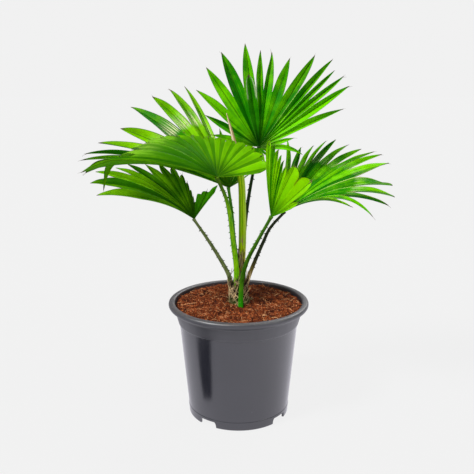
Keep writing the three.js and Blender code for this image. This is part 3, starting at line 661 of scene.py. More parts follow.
def openings_recipe():
    """Cuts the notches out of the foot and the drain holes out of the floor."""
    r = Recipe("pot_openings", Notch="Object", Notches="Int", Turn="Float", Holes="Int", Hole_Radius="Float",
               Hole_Circle="Float", Floor_Level="Float")

    def ring(count, turn):
        points = r.geo("Points", {"Count": count, "Position": (0.0, 0.0, 0.0)})
        return points, r.geo("InputIndex") * TURN / count + turn

    notch = r.geo("ObjectInfo", {"Object": r["Notch"]}, out="Geometry", transform_space="RELATIVE")
    points, angle = ring(r["Notches"], r["Turn"])
    cutters = r.copies(points, notch, Rotation=r.xyz(0.0, 0.0, angle))
    size = {"Radius": r["Hole_Radius"], "Depth": DRAIN_DEPTH * MM}
    bore = r.geo("MeshCylinder", {"Vertices": 24, **size})
    points, angle = ring(r["Holes"], math.radians(DRAIN_TURN))
    points = r.moved(points, Position=r.around(angle, r["Hole_Circle"], z=r["Floor_Level"]))
    whole = r.geo("MeshBoolean", {0: r["Shape"]}, operation="DIFFERENCE")
    for tool in (cutters, r.copies(points, bore)):
        r.feed(whole.socket.node.inputs[1], tool)
    return r.end(r.geo("MergeByDistance", {"Geometry": whole, "Distance": MERGED * MM}))


def notch_cutter():
    half = NOTCH_WIDTH / 2
    right = [(half, -1), (half - 0.5, NOTCH_HEIGHT * 0.5), (half - 1.2, NOTCH_HEIGHT * 0.82),
             (half - 2.6, NOTCH_HEIGHT)]
    outline = [(-half, -1)] + right + [(-y, z) for y, z in right[:0:-1]]
    points = [(x, -y, z) for x in (FOOT_RADIUS - 13, FOOT_RADIUS + 7) for y, z in outline]
    n = len(outline)
    faces = [tuple(range(n)), tuple(range(2 * n - 1, n - 1, -1))]
    faces += [(k, k + n, (k + 1) % n + n, (k + 1) % n) for k in range(n)]
    mesh = mesh_of("notch_cutter", points, faces)
    shape = bmesh.new()
    shape.from_mesh(mesh)
    bmesh.ops.recalc_face_normals(shape, faces=shape.faces)
    shape.to_mesh(mesh)
    shape.free()
    return put("notch_cutter", mesh)


def make_pot(skin):
    """Spins the moulding from its profile and cuts its openings."""
    shape = bmesh.new()
    verts = [shape.verts.new((r * MM, 0.0, z * MM)) for r, z in pot_profile()]
    edges = [shape.edges.new(pair) for pair in zip(verts, verts[1:])]
    bmesh.ops.spin(shape, geom=verts + edges, cent=(0, 0, 0), axis=(0, 0, 1), angle=TURN,
                   steps=POT_SECTORS, use_merge=True, use_duplicate=False)
    bmesh.ops.remove_doubles(shape, verts=shape.verts, dist=1e-6)
    bmesh.ops.recalc_face_normals(shape, faces=shape.faces)
    mesh = bpy.data.meshes.new("pot_shell")
    shape.to_mesh(mesh)
    shape.free()
    pot = put("pot_moulding", mesh)
    cutter = notch_cutter()
    settle(pot, openings_recipe(), {
        "Notch": cutter, "Notches": NOTCHES, "Turn": math.radians(NOTCH_TURN), "Holes": DRAIN_HOLES,
        "Hole_Radius": DRAIN_RADIUS * MM, "Hole_Circle": DRAIN_CIRCLE * MM,
        "Floor_Level": (FLOOR_TOP - 1) * MM, "Skin": skin})
    bpy.data.objects.remove(cutter)
    soften(pot.data, 32)
    dress(pot, "pot_plastic", "pot")


# ---- soil ----
# The bed ends SOIL_CLEAR before the pot and dips a little where it meets the wall.
SOIL_CLEAR = 0.45
SOIL_SECTORS = 120
SOIL_RINGS = 34
SOIL_EDGE_DIP = 1.2
SOIL_EDGE_WIDTH = 3.0


def soil_height(x, y):
    """Uneven top of the soil: low swells and small crumbling."""
    swell = (0.9 * np.sin(x * 0.21 + 1.3) * np.cos(y * 0.17) + 0.7 * np.sin(x * 0.09 - y * 0.13 + 0.6)
             + 0.5 * np.cos(x * 0.33 + y * 0.29))
    crumble = 0.35 * np.sin(x * 0.9 + 2.1 * np.sin(y * 0.41)) * np.cos(y * 0.83 + 1.7 * np.sin(x * 0.37))
    return SOIL_LEVEL + swell + crumble


def make_soil_bed(skin):
    """One closed body: a floor, rings up the pot's wall, and rings in over the uneven top."""
    lean = (WALL_TOP_RADIUS - FOOT_RADIUS - 0.6) / (COLLAR_BOTTOM - 2.0 - FLOOR_TOP)
    foot = FOOT_RADIUS - WALL + 0.6 - SOIL_CLEAR
    top = MOUTH_RADIUS - SOIL_CLEAR
    edge = [(foot, FLOOR_TOP + 0.3), (foot + lean * (COLLAR_BOTTOM - 2.0 - FLOOR_TOP), COLLAR_BOTTOM - 1.7),
            (COLLAR_BOTTOM_RADIUS - WALL - SOIL_CLEAR, COLLAR_BOTTOM + 0.3),
            (COLLAR_TOP_RADIUS - WALL - SOIL_CLEAR, COLLAR_TOP - 0.7),
            (top, COLLAR_TOP + 4.3), (top, SOIL_LEVEL - 1.4)]
    points, faces = [(0.0, 0.0, FLOOR_TOP + 0.3)], []
    turn = np.arange(SOIL_SECTORS) / SOIL_SECTORS * 2 * math.pi
    for r, z in edge:
        points += [(r * math.cos(a), r * math.sin(a), z) for a in turn]
    for k in range(1, SOIL_RINGS):
        r = top * (1 - k / SOIL_RINGS) + 0.001
        x, y = r * np.cos(turn), r * np.sin(turn)
        z = soil_height(x, y) - SOIL_EDGE_DIP * np.exp(-(top - r) / SOIL_EDGE_WIDTH)
        points += list(zip(x, y, z))
    points.append((0.0, 0.0, float(soil_height(0.0, 0.0))))
    levels = len(edge) + SOIL_RINGS - 1

    def at(level, s):
        return 1 + level * SOIL_SECTORS + s % SOIL_SECTORS
    for s in range(SOIL_SECTORS):
        faces.append((0, at(0, s + 1), at(0, s)))
        for k in range(levels - 1):
            faces.append((at(k, s), at(k, s + 1), at(k + 1, s + 1), at(k + 1, s)))
        faces.append((at(levels - 1, s), at(levels - 1, s + 1), len(points) - 1))
    mesh = mesh_of("soil_bed", points, faces)
    soften(mesh, 60)
    bed = put("soil_bed", mesh, skin)
    dress(bed, "coir_soil", "soil")
    return bed


def cover_recipe(name, **inputs):
    """A recipe, and random points with a tone on the shape's top, no further out than Reach."""
    r = Recipe(name, Density="Float", Reach="Float", Seed="Int", **inputs)
    upward = r.split(r.geo("InputNormal"))[2]
    x, y, _ = r.split(r.geo("InputPosition"))
    out = r.maths("LENGTH", r.xyz(x, y, 0.0))
    flat = r.maths("GREATER_THAN", upward, 0.5) * r.maths("LESS_THAN", out, r["Reach"])
    points = r.geo("DistributePointsOnFaces", {
        "Mesh": r["Shape"], "Selection": flat, "Density": r["Density"], "Seed": r["Seed"]})
    return r, r.store(points, "tone", r.chance(0.0, 1.0, 7))


def crumb_recipe():
    """Coir crumbs scattered over the top of the soil, each with its own size, turn and tone."""
    r, points = cover_recipe("coir_crumbs", Size="Float")
    crumb = r.geo("MeshIcoSphere", {"Radius": r["Size"], "Subdivisions": 1})
    size = r.chance((0.35, 0.3, 0.25), (1.25, 0.9, 0.75), 3)
    turn = r.chance((0.0, 0.0, 0.0), (6.28, 6.28, 6.28), 5)
    pieces = r.copies(points, crumb, Rotation=turn, Scale=size)
    ragged = r.noise(r.geo("InputPosition"), 420.0, 2.0, 0.6, out=1) - (0.5, 0.5, 0.5)
    return r.end(r.moved(pieces, Offset=ragged * (r["Size"] * 1.1)))


def fibre_recipe():
    """Thin bent coir fibres lying on the soil, a few of them standing up."""
    r, points = cover_recipe("coir_fibres", Length="Float", Thickness="Float", Lift="Float")
    length = r["Length"]
    strand = r.line(r.xyz(length * -0.5), r.xyz(length * 0.5), 7)
    points = r.store(points, "odd", r.chance(0.0, 50.0, 13))
    steep = r.chance(0.0, 1.0, 11) ** 5.0
    turn = r.xyz(0.0, steep * r["Lift"] * -1.0, r.chance(0.0, 6.28, 9))
    size = r.chance(0.4, 1.25, 17)
    strands = r.copies(points, strand, Rotation=turn, Scale=r.xyz(size, size, size))
    where = r.geo("InputPosition") + r.xyz(r.named("odd"), 0.0, 0.0)
    bend = r.noise(where, 95.0, 1.0, 0.5, out=1) - (0.5, 0.5, 0.44)
    strands = r.moved(strands, Offset=bend * (length * 0.7))
    return r.end(r.tube(strands, 4, r["Thickness"]))


def make_soil_cover(bed, crumb_skin, fibre_skin):
    reach = (RIM_RADIUS - 11.0) * MM
    for name, recipe, values in (
        ("soil_crumbs", crumb_recipe(), {"Density": 210000.0, "Size": 1.5 * MM, "Reach": reach, "Seed": 4,
                                         "Skin": crumb_skin}),
        ("soil_fibres", fibre_recipe(), {"Density": 70000.0, "Length": 10.0 * MM, "Thickness": 0.24 * MM,
                                         "Reach": reach - 3.0 * MM, "Lift": 1.1, "Seed": 8,
                                         "Skin": fibre_skin}),
    ):
        dress(settle(put(name, bed.data.copy()), recipe, values), "coir_soil")


# ---- stalks and spear ----
STALK_STATIONS = 64
SPEAR_STATIONS = 90
STALK_SLIMS = 1.15
STALK_FLARE = 0.7
STALK_FLARE_SHARE = 0.02
STALK_CHANNEL = 0.3


def blend(t, p, q, low, high):
    """The point at t on the line that is at p for low and at q for high."""
    return (high - t) / (high - low) * p + (t - low) / (high - low) * q


def smooth_path(points, stations):
    """Even points on a centripetal Catmull-Rom curve, as the solids use."""
    pts = [np.array(p, float) for p in points]
    pts = [2 * pts[0] - pts[1]] + pts + [2 * pts[-1] - pts[-2]]
    dense = []
    for k in range(1, len(pts) - 2):
        p0, p1, p2, p3 = pts[k - 1:k + 3]
        t1 = np.linalg.norm(p1 - p0) ** 0.5
        t2 = t1 + np.linalg.norm(p2 - p1) ** 0.5
        t3 = t2 + np.linalg.norm(p3 - p2) ** 0.5
        for t in np.linspace(t1, t2, 40, endpoint=k == len(pts) - 3):
            a1, a2, a3 = blend(t, p0, p1, 0, t1), blend(t, p1, p2, t1, t2), blend(t, p2, p3, t2, t3)
            dense.append(blend(t, blend(t, a1, a2, 0, t2), blend(t, a2, a3, t1, t3), t1, t2))
    dense = np.array(dense)
    run = np.concatenate([[0], np.cumsum(np.linalg.norm(np.diff(dense, axis=0), axis=1))])
    even = np.linspace(0, run[-1], stations)
    return np.stack([np.interp(even, run, dense[:, c]) for c in range(3)], -1)


def rod_recipe():
    """A rod along a path, with folds round it and thorns down one edge and, fewer, down the other."""
    r = Recipe("rod_along_path", Sides="Int", Stations="Int", Flat="Float", Folds="Float", Fold_Depth="Float",
               Channel="Float", Thorns="Int", Thorn_Length="Float", Thorn_Base="Float", Thorn_Side="Float",
               Seed="Int")
    path = r.geo("MeshToCurve", {"Mesh": r["Shape"]})
    thickness = r.named("thickness")

    def on_path(factor):
        inputs = {"Curves": path, "Value": thickness, "Factor": factor}
        at = r.geo("SampleCurve", inputs, mode="FACTOR")
        tangent = r.other(at, "Tangent")
        lean = r.maths("DOT_PRODUCT", tangent, (1.0, 0.0, 0.0))
        return r.other(at, "Position"), tangent, r.maths("NORMALIZE", r.xyz(1.0) - tangent * lean), at

    rod = r.geo("MeshCylinder", {"Vertices": r["Sides"], "Side Segments": r["Stations"],
                                 "Radius": 1.0, "Depth": 1.0})
    x, y, z = r.split(r.geo("InputPosition"))
    rod = r.store(rod, "rise", z + 0.5)
    rod = r.store(rod, "turn", r.maths("ARCTAN2", y, x) / TURN + 0.5)
    rod = r.store(rod, "thorn", 0.0)
    where, tangent, side, radius = on_path(r.named("rise"))
    front = r.maths("CROSS_PRODUCT", tangent, side)
    angle = (r.named("turn") - 0.5) * TURN
    cosine, sine = r.maths("COSINE", angle), r.maths("SINE", angle)
    folds = r.maths("COSINE", angle * r["Folds"]) * r["Fold_Depth"] + 1.0
    hollow = r.ramp(sine * -1.0, 0.55, 1.0) * r["Channel"] * -1.0 + 1.0
    reach = radius * folds * hollow
    to = where + side * (cosine * reach) + front * (sine * reach * r["Flat"])
    rod = r.geo("SetShadeSmooth", {"Geometry": r.moved(rod, Position=to)})

    count = r["Thorns"]
    number = r.geo("InputIndex")
    shift = r.chance(-0.3, 0.3, r["Seed"], number)
    where, tangent, side, radius = on_path((number + 0.5 + shift) / count * THORNS_ALONG + THORNS_FROM)
    across = r.maths("COMPARE", r.maths("MODULO", number, 3.0), 2.0) * -2.0 + 1.0
    way = side * (r["Thorn_Side"] * across)
    spots = r.moved(r.geo("Points", {"Count": count}), Position=where + way * (radius * THORN_SEAT))
    length = r["Thorn_Length"]
    thorn = r.geo("MeshCone", {"Vertices": 5, "Radius Top": 0.0, "Radius Bottom": r["Thorn_Base"],
                               "Depth": length})
    thorn = r.store(thorn, "thorn", r.ramp(r.split(r.geo("InputPosition"))[2], 0.0, length * 0.5))
    down = way - tangent * r.chance(0.25, 0.8, 2, number)
    aim = r.add("FunctionNodeAlignRotationToVector", {"Vector": down}, axis="Z")
    size = r.chance(0.6, 1.0, 6, number)
    thorns = r.copies(spots, thorn, Rotation=aim, Scale=r.xyz(size, size * 0.7, size))
    thorns = r.store(thorns, "rise", 0.5)
    both = r.geo("JoinGeometry", {0: rod})
    r.feed(both.socket.node.inputs[0], thorns)
    return r.end(both)


def make_rod(recipe, name, slot, node, points, radii, sizes):
    """Runs the rod recipe on a path that carries its thickness."""
    mesh = mesh_of(name, points, [], [(k, k + 1) for k in range(len(points) - 1)])
    keep_attributes(mesh, thickness=np.asarray(radii) * MM)
    dress(settle(put(name, mesh), recipe, sizes), slot, node)


def make_stalks(recipe, skins):
    for number, (name, row) in enumerate(STALKS.items()):
        leaf = BLADES[row["blade"]]
        out = np.array(leaf["out"], float)
        end = np.array(leaf["hub"], float) + out / np.linalg.norm(out) * STALK_INTO_HUB
        t = np.linspace(0, 1, STALK_STATIONS)
        foot, tip = row["radius"]
        radii = foot + (tip - foot) * np.minimum(1, t * STALK_SLIMS)
        radii = radii + STALK_FLARE * np.exp(-((1 - t) / STALK_FLARE_SHARE) ** 2)
        make_rod(recipe, name + "_skin", "leaf_stalk", name,
                 smooth_path(row["points"] + [tuple(end)], STALK_STATIONS), radii, {
                     "Sides": 20, "Stations": 90, "Flat": STALK_FLAT, "Folds": 0.0, "Fold_Depth": 0.0,
                     "Channel": STALK_CHANNEL, "Thorns": row["thorns"], "Thorn_Length": THORN_LENGTH * MM,
                     "Thorn_Base": THORN_BASE * MM, "Thorn_Side": float(row["side"]), "Seed": 20 + number,
                     "Skin": skins[name]})


def make_spear(recipe, skin):
    t = np.linspace(0, 1, SPEAR_STATIONS) * (len(SPEAR["radii"]) - 1)
    radii = np.interp(t, range(len(SPEAR["radii"])), SPEAR["radii"]) * SPEAR_SLIMMER
    path = smooth_path(SPEAR["points"], SPEAR_STATIONS)
    make_rod(recipe, "spear_folds", "spear_leaf", "spear", path, radii, {
        "Sides": 72, "Stations": 130, "Flat": SPEAR["flat"], "Folds": float(SPEAR_FOLDS),
        "Fold_Depth": SPEAR_FOLD_DEPTH, "Channel": 0.0, "Thorns": 0, "Thorn_Length": 0.001,
        "Thorn_Base": 0.001, "Thorn_Side": 1.0, "Seed": 1, "Skin": skin})


# ---- sheath of old fibre ----
SHEATH_SECTORS = 90
SHEATH_RINGS = 12
SHEATH_BELOW = 3.5
SHEATH_TORN = 183
SHEATH_GAP = 0.4
SHEATH_WALL = 0.9
STRANDS = {
    "sheath_strands": {"Strands": 96, "Top": 200.0 * MM, "Twist": 3.2, "Thickness": 0.4 * MM,
                       "Fray": 1.3 * MM, "Spread": 3.2 * MM, "Seed": 31},
    "sheath_litter": {"Strands": 44, "Top": 164.0 * MM, "Twist": 1.0, "Thickness": 0.36 * MM,
                      "Fray": 1.6 * MM, "Spread": 6.0 * MM, "Seed": 47},
    "spear_fibres": {"Strands": 34, "Foot": 178.0 * MM, "Top": 236.0 * MM, "Twist": 1.8,
                     "Thickness": 0.34 * MM, "Radius": 3.9 * MM, "Fray": 0.9 * MM, "Spread": 1.6 * MM,
                     "Centre_X": 3.4 * MM, "Centre_Y": 0.6 * MM, "Seed": 53},
}


def strand_recipe():
    """Strands wound up round an upright centre line in both directions, frayed at the top."""
    r = Recipe("sheath_strands", Strands="Int", Centre_X="Float", Centre_Y="Float", Foot="Float", Top="Float",
               Radius="Float", Twist="Float", Thickness="Float", Fray="Float", Spread="Float", Seed="Int")
    number = r.geo("InputIndex")
    points = r.geo("Points", {"Count": r["Strands"]})
    draws = {"start": (0.0, 6.2832), "wind": (-1.0, 1.0), "tall": (0.55, 1.0), "tone": (0.0, 1.0),
             "proud": (0.0, 1.0)}
    for step, (name, (low, high)) in enumerate(draws.items()):
        points = r.store(points, name, r.chance(low, high, r["Seed"] + float(step), number))
    strands = r.copies(points, r.line((0.0, 0.0, 0.0), (0.0, 0.0, 1.0), 14))
    u = r.split(r.geo("InputPosition"))[2]
    start, wind, tall, proud = (r.named(name) for name in ("start", "wind", "tall", "proud"))
    wobble = r.drawn(start * 9.0, u * 2.5, proud * 7.0, 1.0) - 0.5
    angle = start + wind * u * r["Twist"] + wobble * 0.5
    foot, fray = r["Foot"], r["Fray"]
    height = foot + (r["Top"] - foot) * u * tall
    loose = r.ramp(u, 0.55, 1.0) * r["Spread"] * (proud ** 2.0)
    radius = r["Radius"] + proud * fray + wobble * fray + loose
    where = r.around(angle, radius, r["Centre_X"], r["Centre_Y"], height)
    return r.end(r.tube(r.moved(strands, Position=where), 5, r["Thickness"]))


def make_sheath(recipe, sleeve_skin, strand_skin):
    """A torn sleeve with two walls, and strands wound round it and round the spear's foot."""
    middle_x, middle_y = STEM_CENTRE
    points, faces = [], []
    for s in range(SHEATH_SECTORS):
        a = s / SHEATH_SECTORS * 2 * math.pi
        torn = SHEATH_TORN + 6.5 * math.sin(7 * a + 0.8) + 3.5 * math.sin(17 * a) + 2.0 * math.cos(29 * a)
        for k in range(SHEATH_RINGS):
            f = k / (SHEATH_RINGS - 1)
            z = SHEATH_FOOT - SHEATH_BELOW + (torn - SHEATH_FOOT + SHEATH_BELOW) * f
            flare = max(0.0, z - STEM_TOP) * 0.16
            r = STEM_SOIL_RADIUS + SHEATH_GAP + 0.25 * math.sin(11 * a + f * 3) + flare
            for radius in (r, r + SHEATH_WALL * (1 - 0.6 * f)):
                points.append((middle_x + radius * math.cos(a), middle_y + radius * math.sin(a), z))

    def at(s, k, outer):
        return ((s % SHEATH_SECTORS) * SHEATH_RINGS + k) * 2 + outer
    end = SHEATH_RINGS - 1
    for s in range(SHEATH_SECTORS):
        for k in range(end):
            faces.append((at(s, k, 1), at(s + 1, k, 1), at(s + 1, k + 1, 1), at(s, k + 1, 1)))
            faces.append((at(s, k, 0), at(s, k + 1, 0), at(s + 1, k + 1, 0), at(s + 1, k, 0)))
        faces.append((at(s, end, 1), at(s + 1, end, 1), at(s + 1, end, 0), at(s, end, 0)))
        faces.append((at(s, 0, 1), at(s, 0, 0), at(s + 1, 0, 0), at(s + 1, 0, 1)))
    mesh = mesh_of("sheath_sleeve", points, faces)
    soften(mesh, 50)
    dress(put("sheath_sleeve", mesh, sleeve_skin), "fibre_sheath", "sheath")
    shared = {"Foot": (SOIL_LEVEL - 1.0) * MM, "Radius": (STEM_SOIL_RADIUS + 1.0) * MM, "Skin": strand_skin,
              "Centre_X": middle_x * MM, "Centre_Y": middle_y * MM}
    for name, values in STRANDS.items():
        strands = put(name, bpy.data.meshes.new(name))
        dress(settle(strands, recipe, {**shared, **values}), "fibre_sheath")


# ---- fan blades ----
# Stations run along a leaflet, and ACROSS holds its columns, from edge to edge over its middle fold.
UNITED_STATIONS = 18
FREE_STATIONS = 26
PATH_STEPS = 40
FOLD_SHARPENS = 0.8
FOLD_BOW = 0.1
THREAD_STATIONS = 8
TIP_THREAD_ROOT = 7.0
TIP_THREADS = (0.3, 0.45, 0.25)
NOTCH_FIBRE_ROOT = 3.0
NOTCH_FIBRES = {"blade_top": 1, "blade_front": 1, "blade_rear": 5, "blade_left": 1, "blade_fore_right": 1,
                "blade_right": 2}
BASAL_LEAFLETS = dict(
    hub=(27, 22.5, 362.5), out=(-0.05, -0.42, -0.9), face=(0, -0.9, 0.42),
    lift=(28, 0, 0), curl=(45, 0, 0), size=60, united=(0.45, 0.45), taper=1.8, spread=0.3, twist=20,
    leaflets=[(-66, 17), (-44, 24), (-20, 28), (4, 31), (26, 33), (48, 28), (70, 20)], bend={})
# A lone leaflet has no neighbours to set its width, so opened is its angle.
FOLDED_LEAFLET = dict(
    hub=(27, 24.4, 364.2), out=(0.05, 0.22, 1), face=(0, -1, 0.3),
    lift=(16.5, 0, 0), curl=(33, 0, 0), size=140, united=(0.5, 0.5), taper=7, spread=0.1, twist=0, opened=18,
    leaflets=[(-11.6, 95)], bend={})
ACROSS = (-1.0, -0.78, -0.52, -0.26, -0.08, 0.08, 0.26, 0.52, 0.78, 1.0)


def unit(v):
    v = np.asarray(v, float)
    return v / np.linalg.norm(v, axis=-1, keepdims=True)


def blade_axes(leaf):
    out = unit(leaf["out"])
    face = np.array(leaf["face"], float)
    face = unit(face - out * face.dot(out))
    return out, face, np.cross(out, face)


class LeafletPath:
    """The line that a leaflet follows from the hub; past start its free end bends and twists."""

    def __init__(self, leaf, angle, length, start=None, number=0):
        out, face, side = blade_axes(leaf)
        a, t = math.radians(angle), angle / 100
        self.reach = out * math.cos(a) + side * math.sin(a)
        self.face, self.size, self.length = face, leaf["size"], length
        self.lift, self.curl = (row[0] + row[1] * t + row[2] * t * t for row in (leaf["lift"], leaf["curl"]))
        self.start = start
        self.bend = np.array(leaf["bend"].get(number, (0, 0, 0)), float)
        self.twist = math.radians(leaf["twist"]) * math.sin(number * TWIST_STEP + leaf["size"])
        self.slims = HANGING_SLIMS * max(0.0, np.linalg.norm(self.bend) - 1.5)
        self.taper = leaf.get("blunt", {}).get(number, leaf["taper"])
        step = length / PATH_STEPS
        s = step * np.arange(PATH_STEPS + 1)
        self.ways, self.ups = self.heading(s)
        steps, _ = self.heading(s[:-1] + step / 2)
        self.points = np.array(leaf["hub"], float) + np.vstack([np.zeros(3), np.cumsum(steps * step, axis=0)])

    def heading(self, s):
        slope = np.radians(self.lift - self.curl * (s / self.size) ** 1.5)[:, None]
        way = self.reach * np.cos(slope) + self.face * np.sin(slope)
        up = -self.reach * np.sin(slope) + self.face * np.cos(slope)
        if self.start is not None:
            g = np.clip((s - self.start) / (self.length - self.start), 0, None)[:, None]
            way = unit(way + self.bend * g ** 1.2)
            up = unit(up - way * np.sum(up * way, axis=1, keepdims=True))
            up = up * np.cos(self.twist * g) + np.cross(way, up) * np.sin(self.twist * g)
        return way, up

    def along(self, s):
        x = np.clip(np.asarray(s, float) / self.length * PATH_STEPS, 0, PATH_STEPS)
        k = np.minimum(x.astype(int), PATH_STEPS - 1)
        f = (x - k)[:, None]

        def between(rows):
            return rows[k] * (1 - f) + rows[k + 1] * f
        way, up = unit(between(self.ways)), unit(between(self.ups))
        return between(self.points), way, up, np.cross(way, up)


def blade_layout(leaf):
    """Directions and lengths of the leaflets, and of the ridges between them up to their notches."""
    angles, lengths = zip(*leaf["leaflets"])
    count = len(angles)
    opened = leaf.get("opened", 0)
    edges = [angles[0] - (angles[1] - angles[0] if count > 1 else opened) / 2]
    edges += [(angles[i] + angles[i + 1]) / 2 for i in range(count - 1)]
    edges.append(angles[-1] + (angles[-1] - angles[-2] if count > 1 else opened) / 2)
    notches = []
    for j in range(count + 1):
        shorter = min(lengths[max(j - 1, 0)], lengths[min(j, count - 1)])
        notches.append(shorter * (leaf["united"][0] + (leaf["united"][1] - leaf["united"][0]) * j / count))
    notches[0] *= OUTER_NOTCH
    notches[-1] *= OUTER_NOTCH
    lengths = [length * leaf.get("trim", {}).get(i, 1.0) for i, length in enumerate(lengths)]
    return angles, lengths, edges, notches


def make_blade(name, leaf, skin, seed, *nodes):
    """A pleated fan as one closed thin sheet: leaflets united up to their notches, then free and pointed."""
    dice = np.random.default_rng(seed)
    angles, lengths, edges, notches = blade_layout(leaf)
    count = len(angles)
    half = math.radians((edges[-1] - edges[0]) / count / 2)

    def fold(s):
        return s * math.sin(half) * math.tan(math.radians(BLADE_FOLD)) * 0.5

    spots, ups, fan, reach, tip = [], [], [], [], []

    def place(rows, up_rows, fan_at, reach_at, tip_at):
        first = len(spots)
        spots.extend(rows)
        ups.extend(up_rows)
        n = len(rows)
        fan.extend(np.broadcast_to(fan_at, n))
        reach.extend(np.broadcast_to(reach_at, n))
        tip.extend(np.broadcast_to(tip_at, n))
        return list(range(first, first + n))

    unit_steps = np.linspace(0, 1, UNITED_STATIONS + 1)
    free_steps = np.arange(1, FREE_STATIONS + 1) / (FREE_STATIONS + 1)
    ridges = []
    for j, angle in enumerate(edges):
        path = LeafletPath(leaf, angle, max(notches[j], HUB_RADIUS + 1))
        s = HUB_RADIUS + (notches[j] - HUB_RADIUS) * unit_steps
        point, _, up, _ = path.along(s)
        rows = point + up * fold(s)[:, None]
        ridges.append((rows, up, place(rows, up, float(j), s * MM, 0.0)))

    tops, walls = [], []
    for i in range(count):
        angle, length = angles[i], lengths[i]
        start = (notches[i] + notches[i + 1]) / 2
        path = LeafletPath(leaf, angle, length, start, i)
        s = HUB_RADIUS + (start - HUB_RADIUS) * unit_steps
        point, _, up, _ = path.along(s)
        rib, rib_up = point - up * fold(s)[:, None], up

        def margin(j):
            notch = notches[j]
            root, way, up_root, side = (v[0] for v in path.along([notch]))
            offset = ridges[j][0][-1] - root
            across, rise, ahead = offset.dot(side), offset.dot(up_root), offset.dot(way)
            s = notch + (length - notch) * free_steps
            point, way, up, side = path.along(s)
            width = (1 - free_steps ** path.taper) * (s / notch) ** leaf["spread"]
            width = (width / (1 + path.slims * free_steps))[:, None]
            sharp = 1 + FOLD_SHARPENS * free_steps[:, None]
            point = point + side * across * width + up * rise * width * sharp
            point = point + way * ahead * (1 - free_steps[:, None])
            return np.vstack([ridges[j][0][-1:], point]), np.vstack([ridges[j][1][-1:], up])

        left, left_up = margin(i)
        right, right_up = margin(i + 1)
        s_free = start + (length - start) * free_steps
        point, _, up, _ = path.along(s_free)
        deep = fold(start) * (1 - free_steps ** path.taper) * (1 + FOLD_SHARPENS * free_steps)
        middle = np.vstack([rib[-1:], point - up * deep[:, None]])
        middle_up = np.vstack([rib_up[-1:], up])

        ripple = dice.uniform(0.2, 0.6) * np.sin(
            np.linspace(0, dice.uniform(5, 10), FREE_STATIONS + 1) + dice.uniform(0, 6))
        ripple = ripple * np.sin(np.linspace(0, math.pi, FREE_STATIONS + 1))
        columns = []
        for x in ACROSS:
            edge_rows, edge_up, edge = ridges[i if x < 0 else i + 1]
            free_rows, free_up = (left, left_up) if x < 0 else (right, right_up)
            w = abs(x)
            bow = FOLD_BOW * math.sin(math.pi * w)
            up_rows = unit(rib_up + (edge_up - rib_up) * w)
            depth = fold(s)[:, None] * 2
            rows = rib + (edge_rows - rib) * w + up_rows * depth * bow
            if w == 1.0:
                united = edge
            else:
                united = place(rows, up_rows, i + (x + 1) / 2, s * MM, 0.0)
            up_rows = unit(middle_up + (free_up - middle_up) * w)
            depth = (fold(start) * (1 - np.concatenate([[0], free_steps]) ** path.taper))[:, None] * 2
            rows = middle + (free_rows - middle) * w + up_rows * depth * bow
            rows = rows + up_rows * (ripple * w ** 2)[:, None]
            free = place(rows[1:], up_rows[1:], i + (x + 1) / 2, s_free * MM, free_steps)
            columns.append(united + free)
        end_point, _, end_up, _ = path.along([length])
        end = place(end_point, end_up, i + 0.5, length * MM, 1.0)[0]

        last = UNITED_STATIONS + FREE_STATIONS
        for a, b in zip(columns, columns[1:]):
            for k in range(last):
                tops.append((a[k], b[k], b[k + 1], a[k + 1]))
            tops.append((a[last], b[last], end))
            walls.append((b[0], a[0]))
        first, final = columns[0], columns[-1]
        for k in range(UNITED_STATIONS if i > 0 else 0, last):
            walls.append((first[k], first[k + 1]))
        for k in range(UNITED_STATIONS if i < count - 1 else 0, last):
            walls.append((final[k + 1], final[k]))
        walls += [(first[last], end), (end, final[last])]

    spots, ups = np.array(spots), unit(np.array(ups))
    n = len(spots)
    both = np.vstack([spots + ups * BLADE_THICKNESS / 2, spots - ups * BLADE_THICKNESS / 2])
    faces = [tuple(f) for f in tops] + [tuple(v + n for v in reversed(f)) for f in tops]
    faces += [(a, b, b + n, a + n) for a, b in walls]
    mesh = mesh_of(name + "_leaf", both, faces)
    keep_attributes(mesh, fan=fan * 2, reach=reach * 2, tip=tip * 2)
    soften(mesh, 40)
    dress(put(name + "_leaf", mesh, skin), "leaf_blade", *nodes)


def thread_recipe():
    """Thin dry threads along the paths that they are given."""
    r = Recipe("dry_threads", Sides="Int")
    path = r.geo("MeshToCurve", {"Mesh": r["Shape"]})
    return r.end(r.tube(path, r["Sides"], 1.0, Scale=r.named("thickness")))


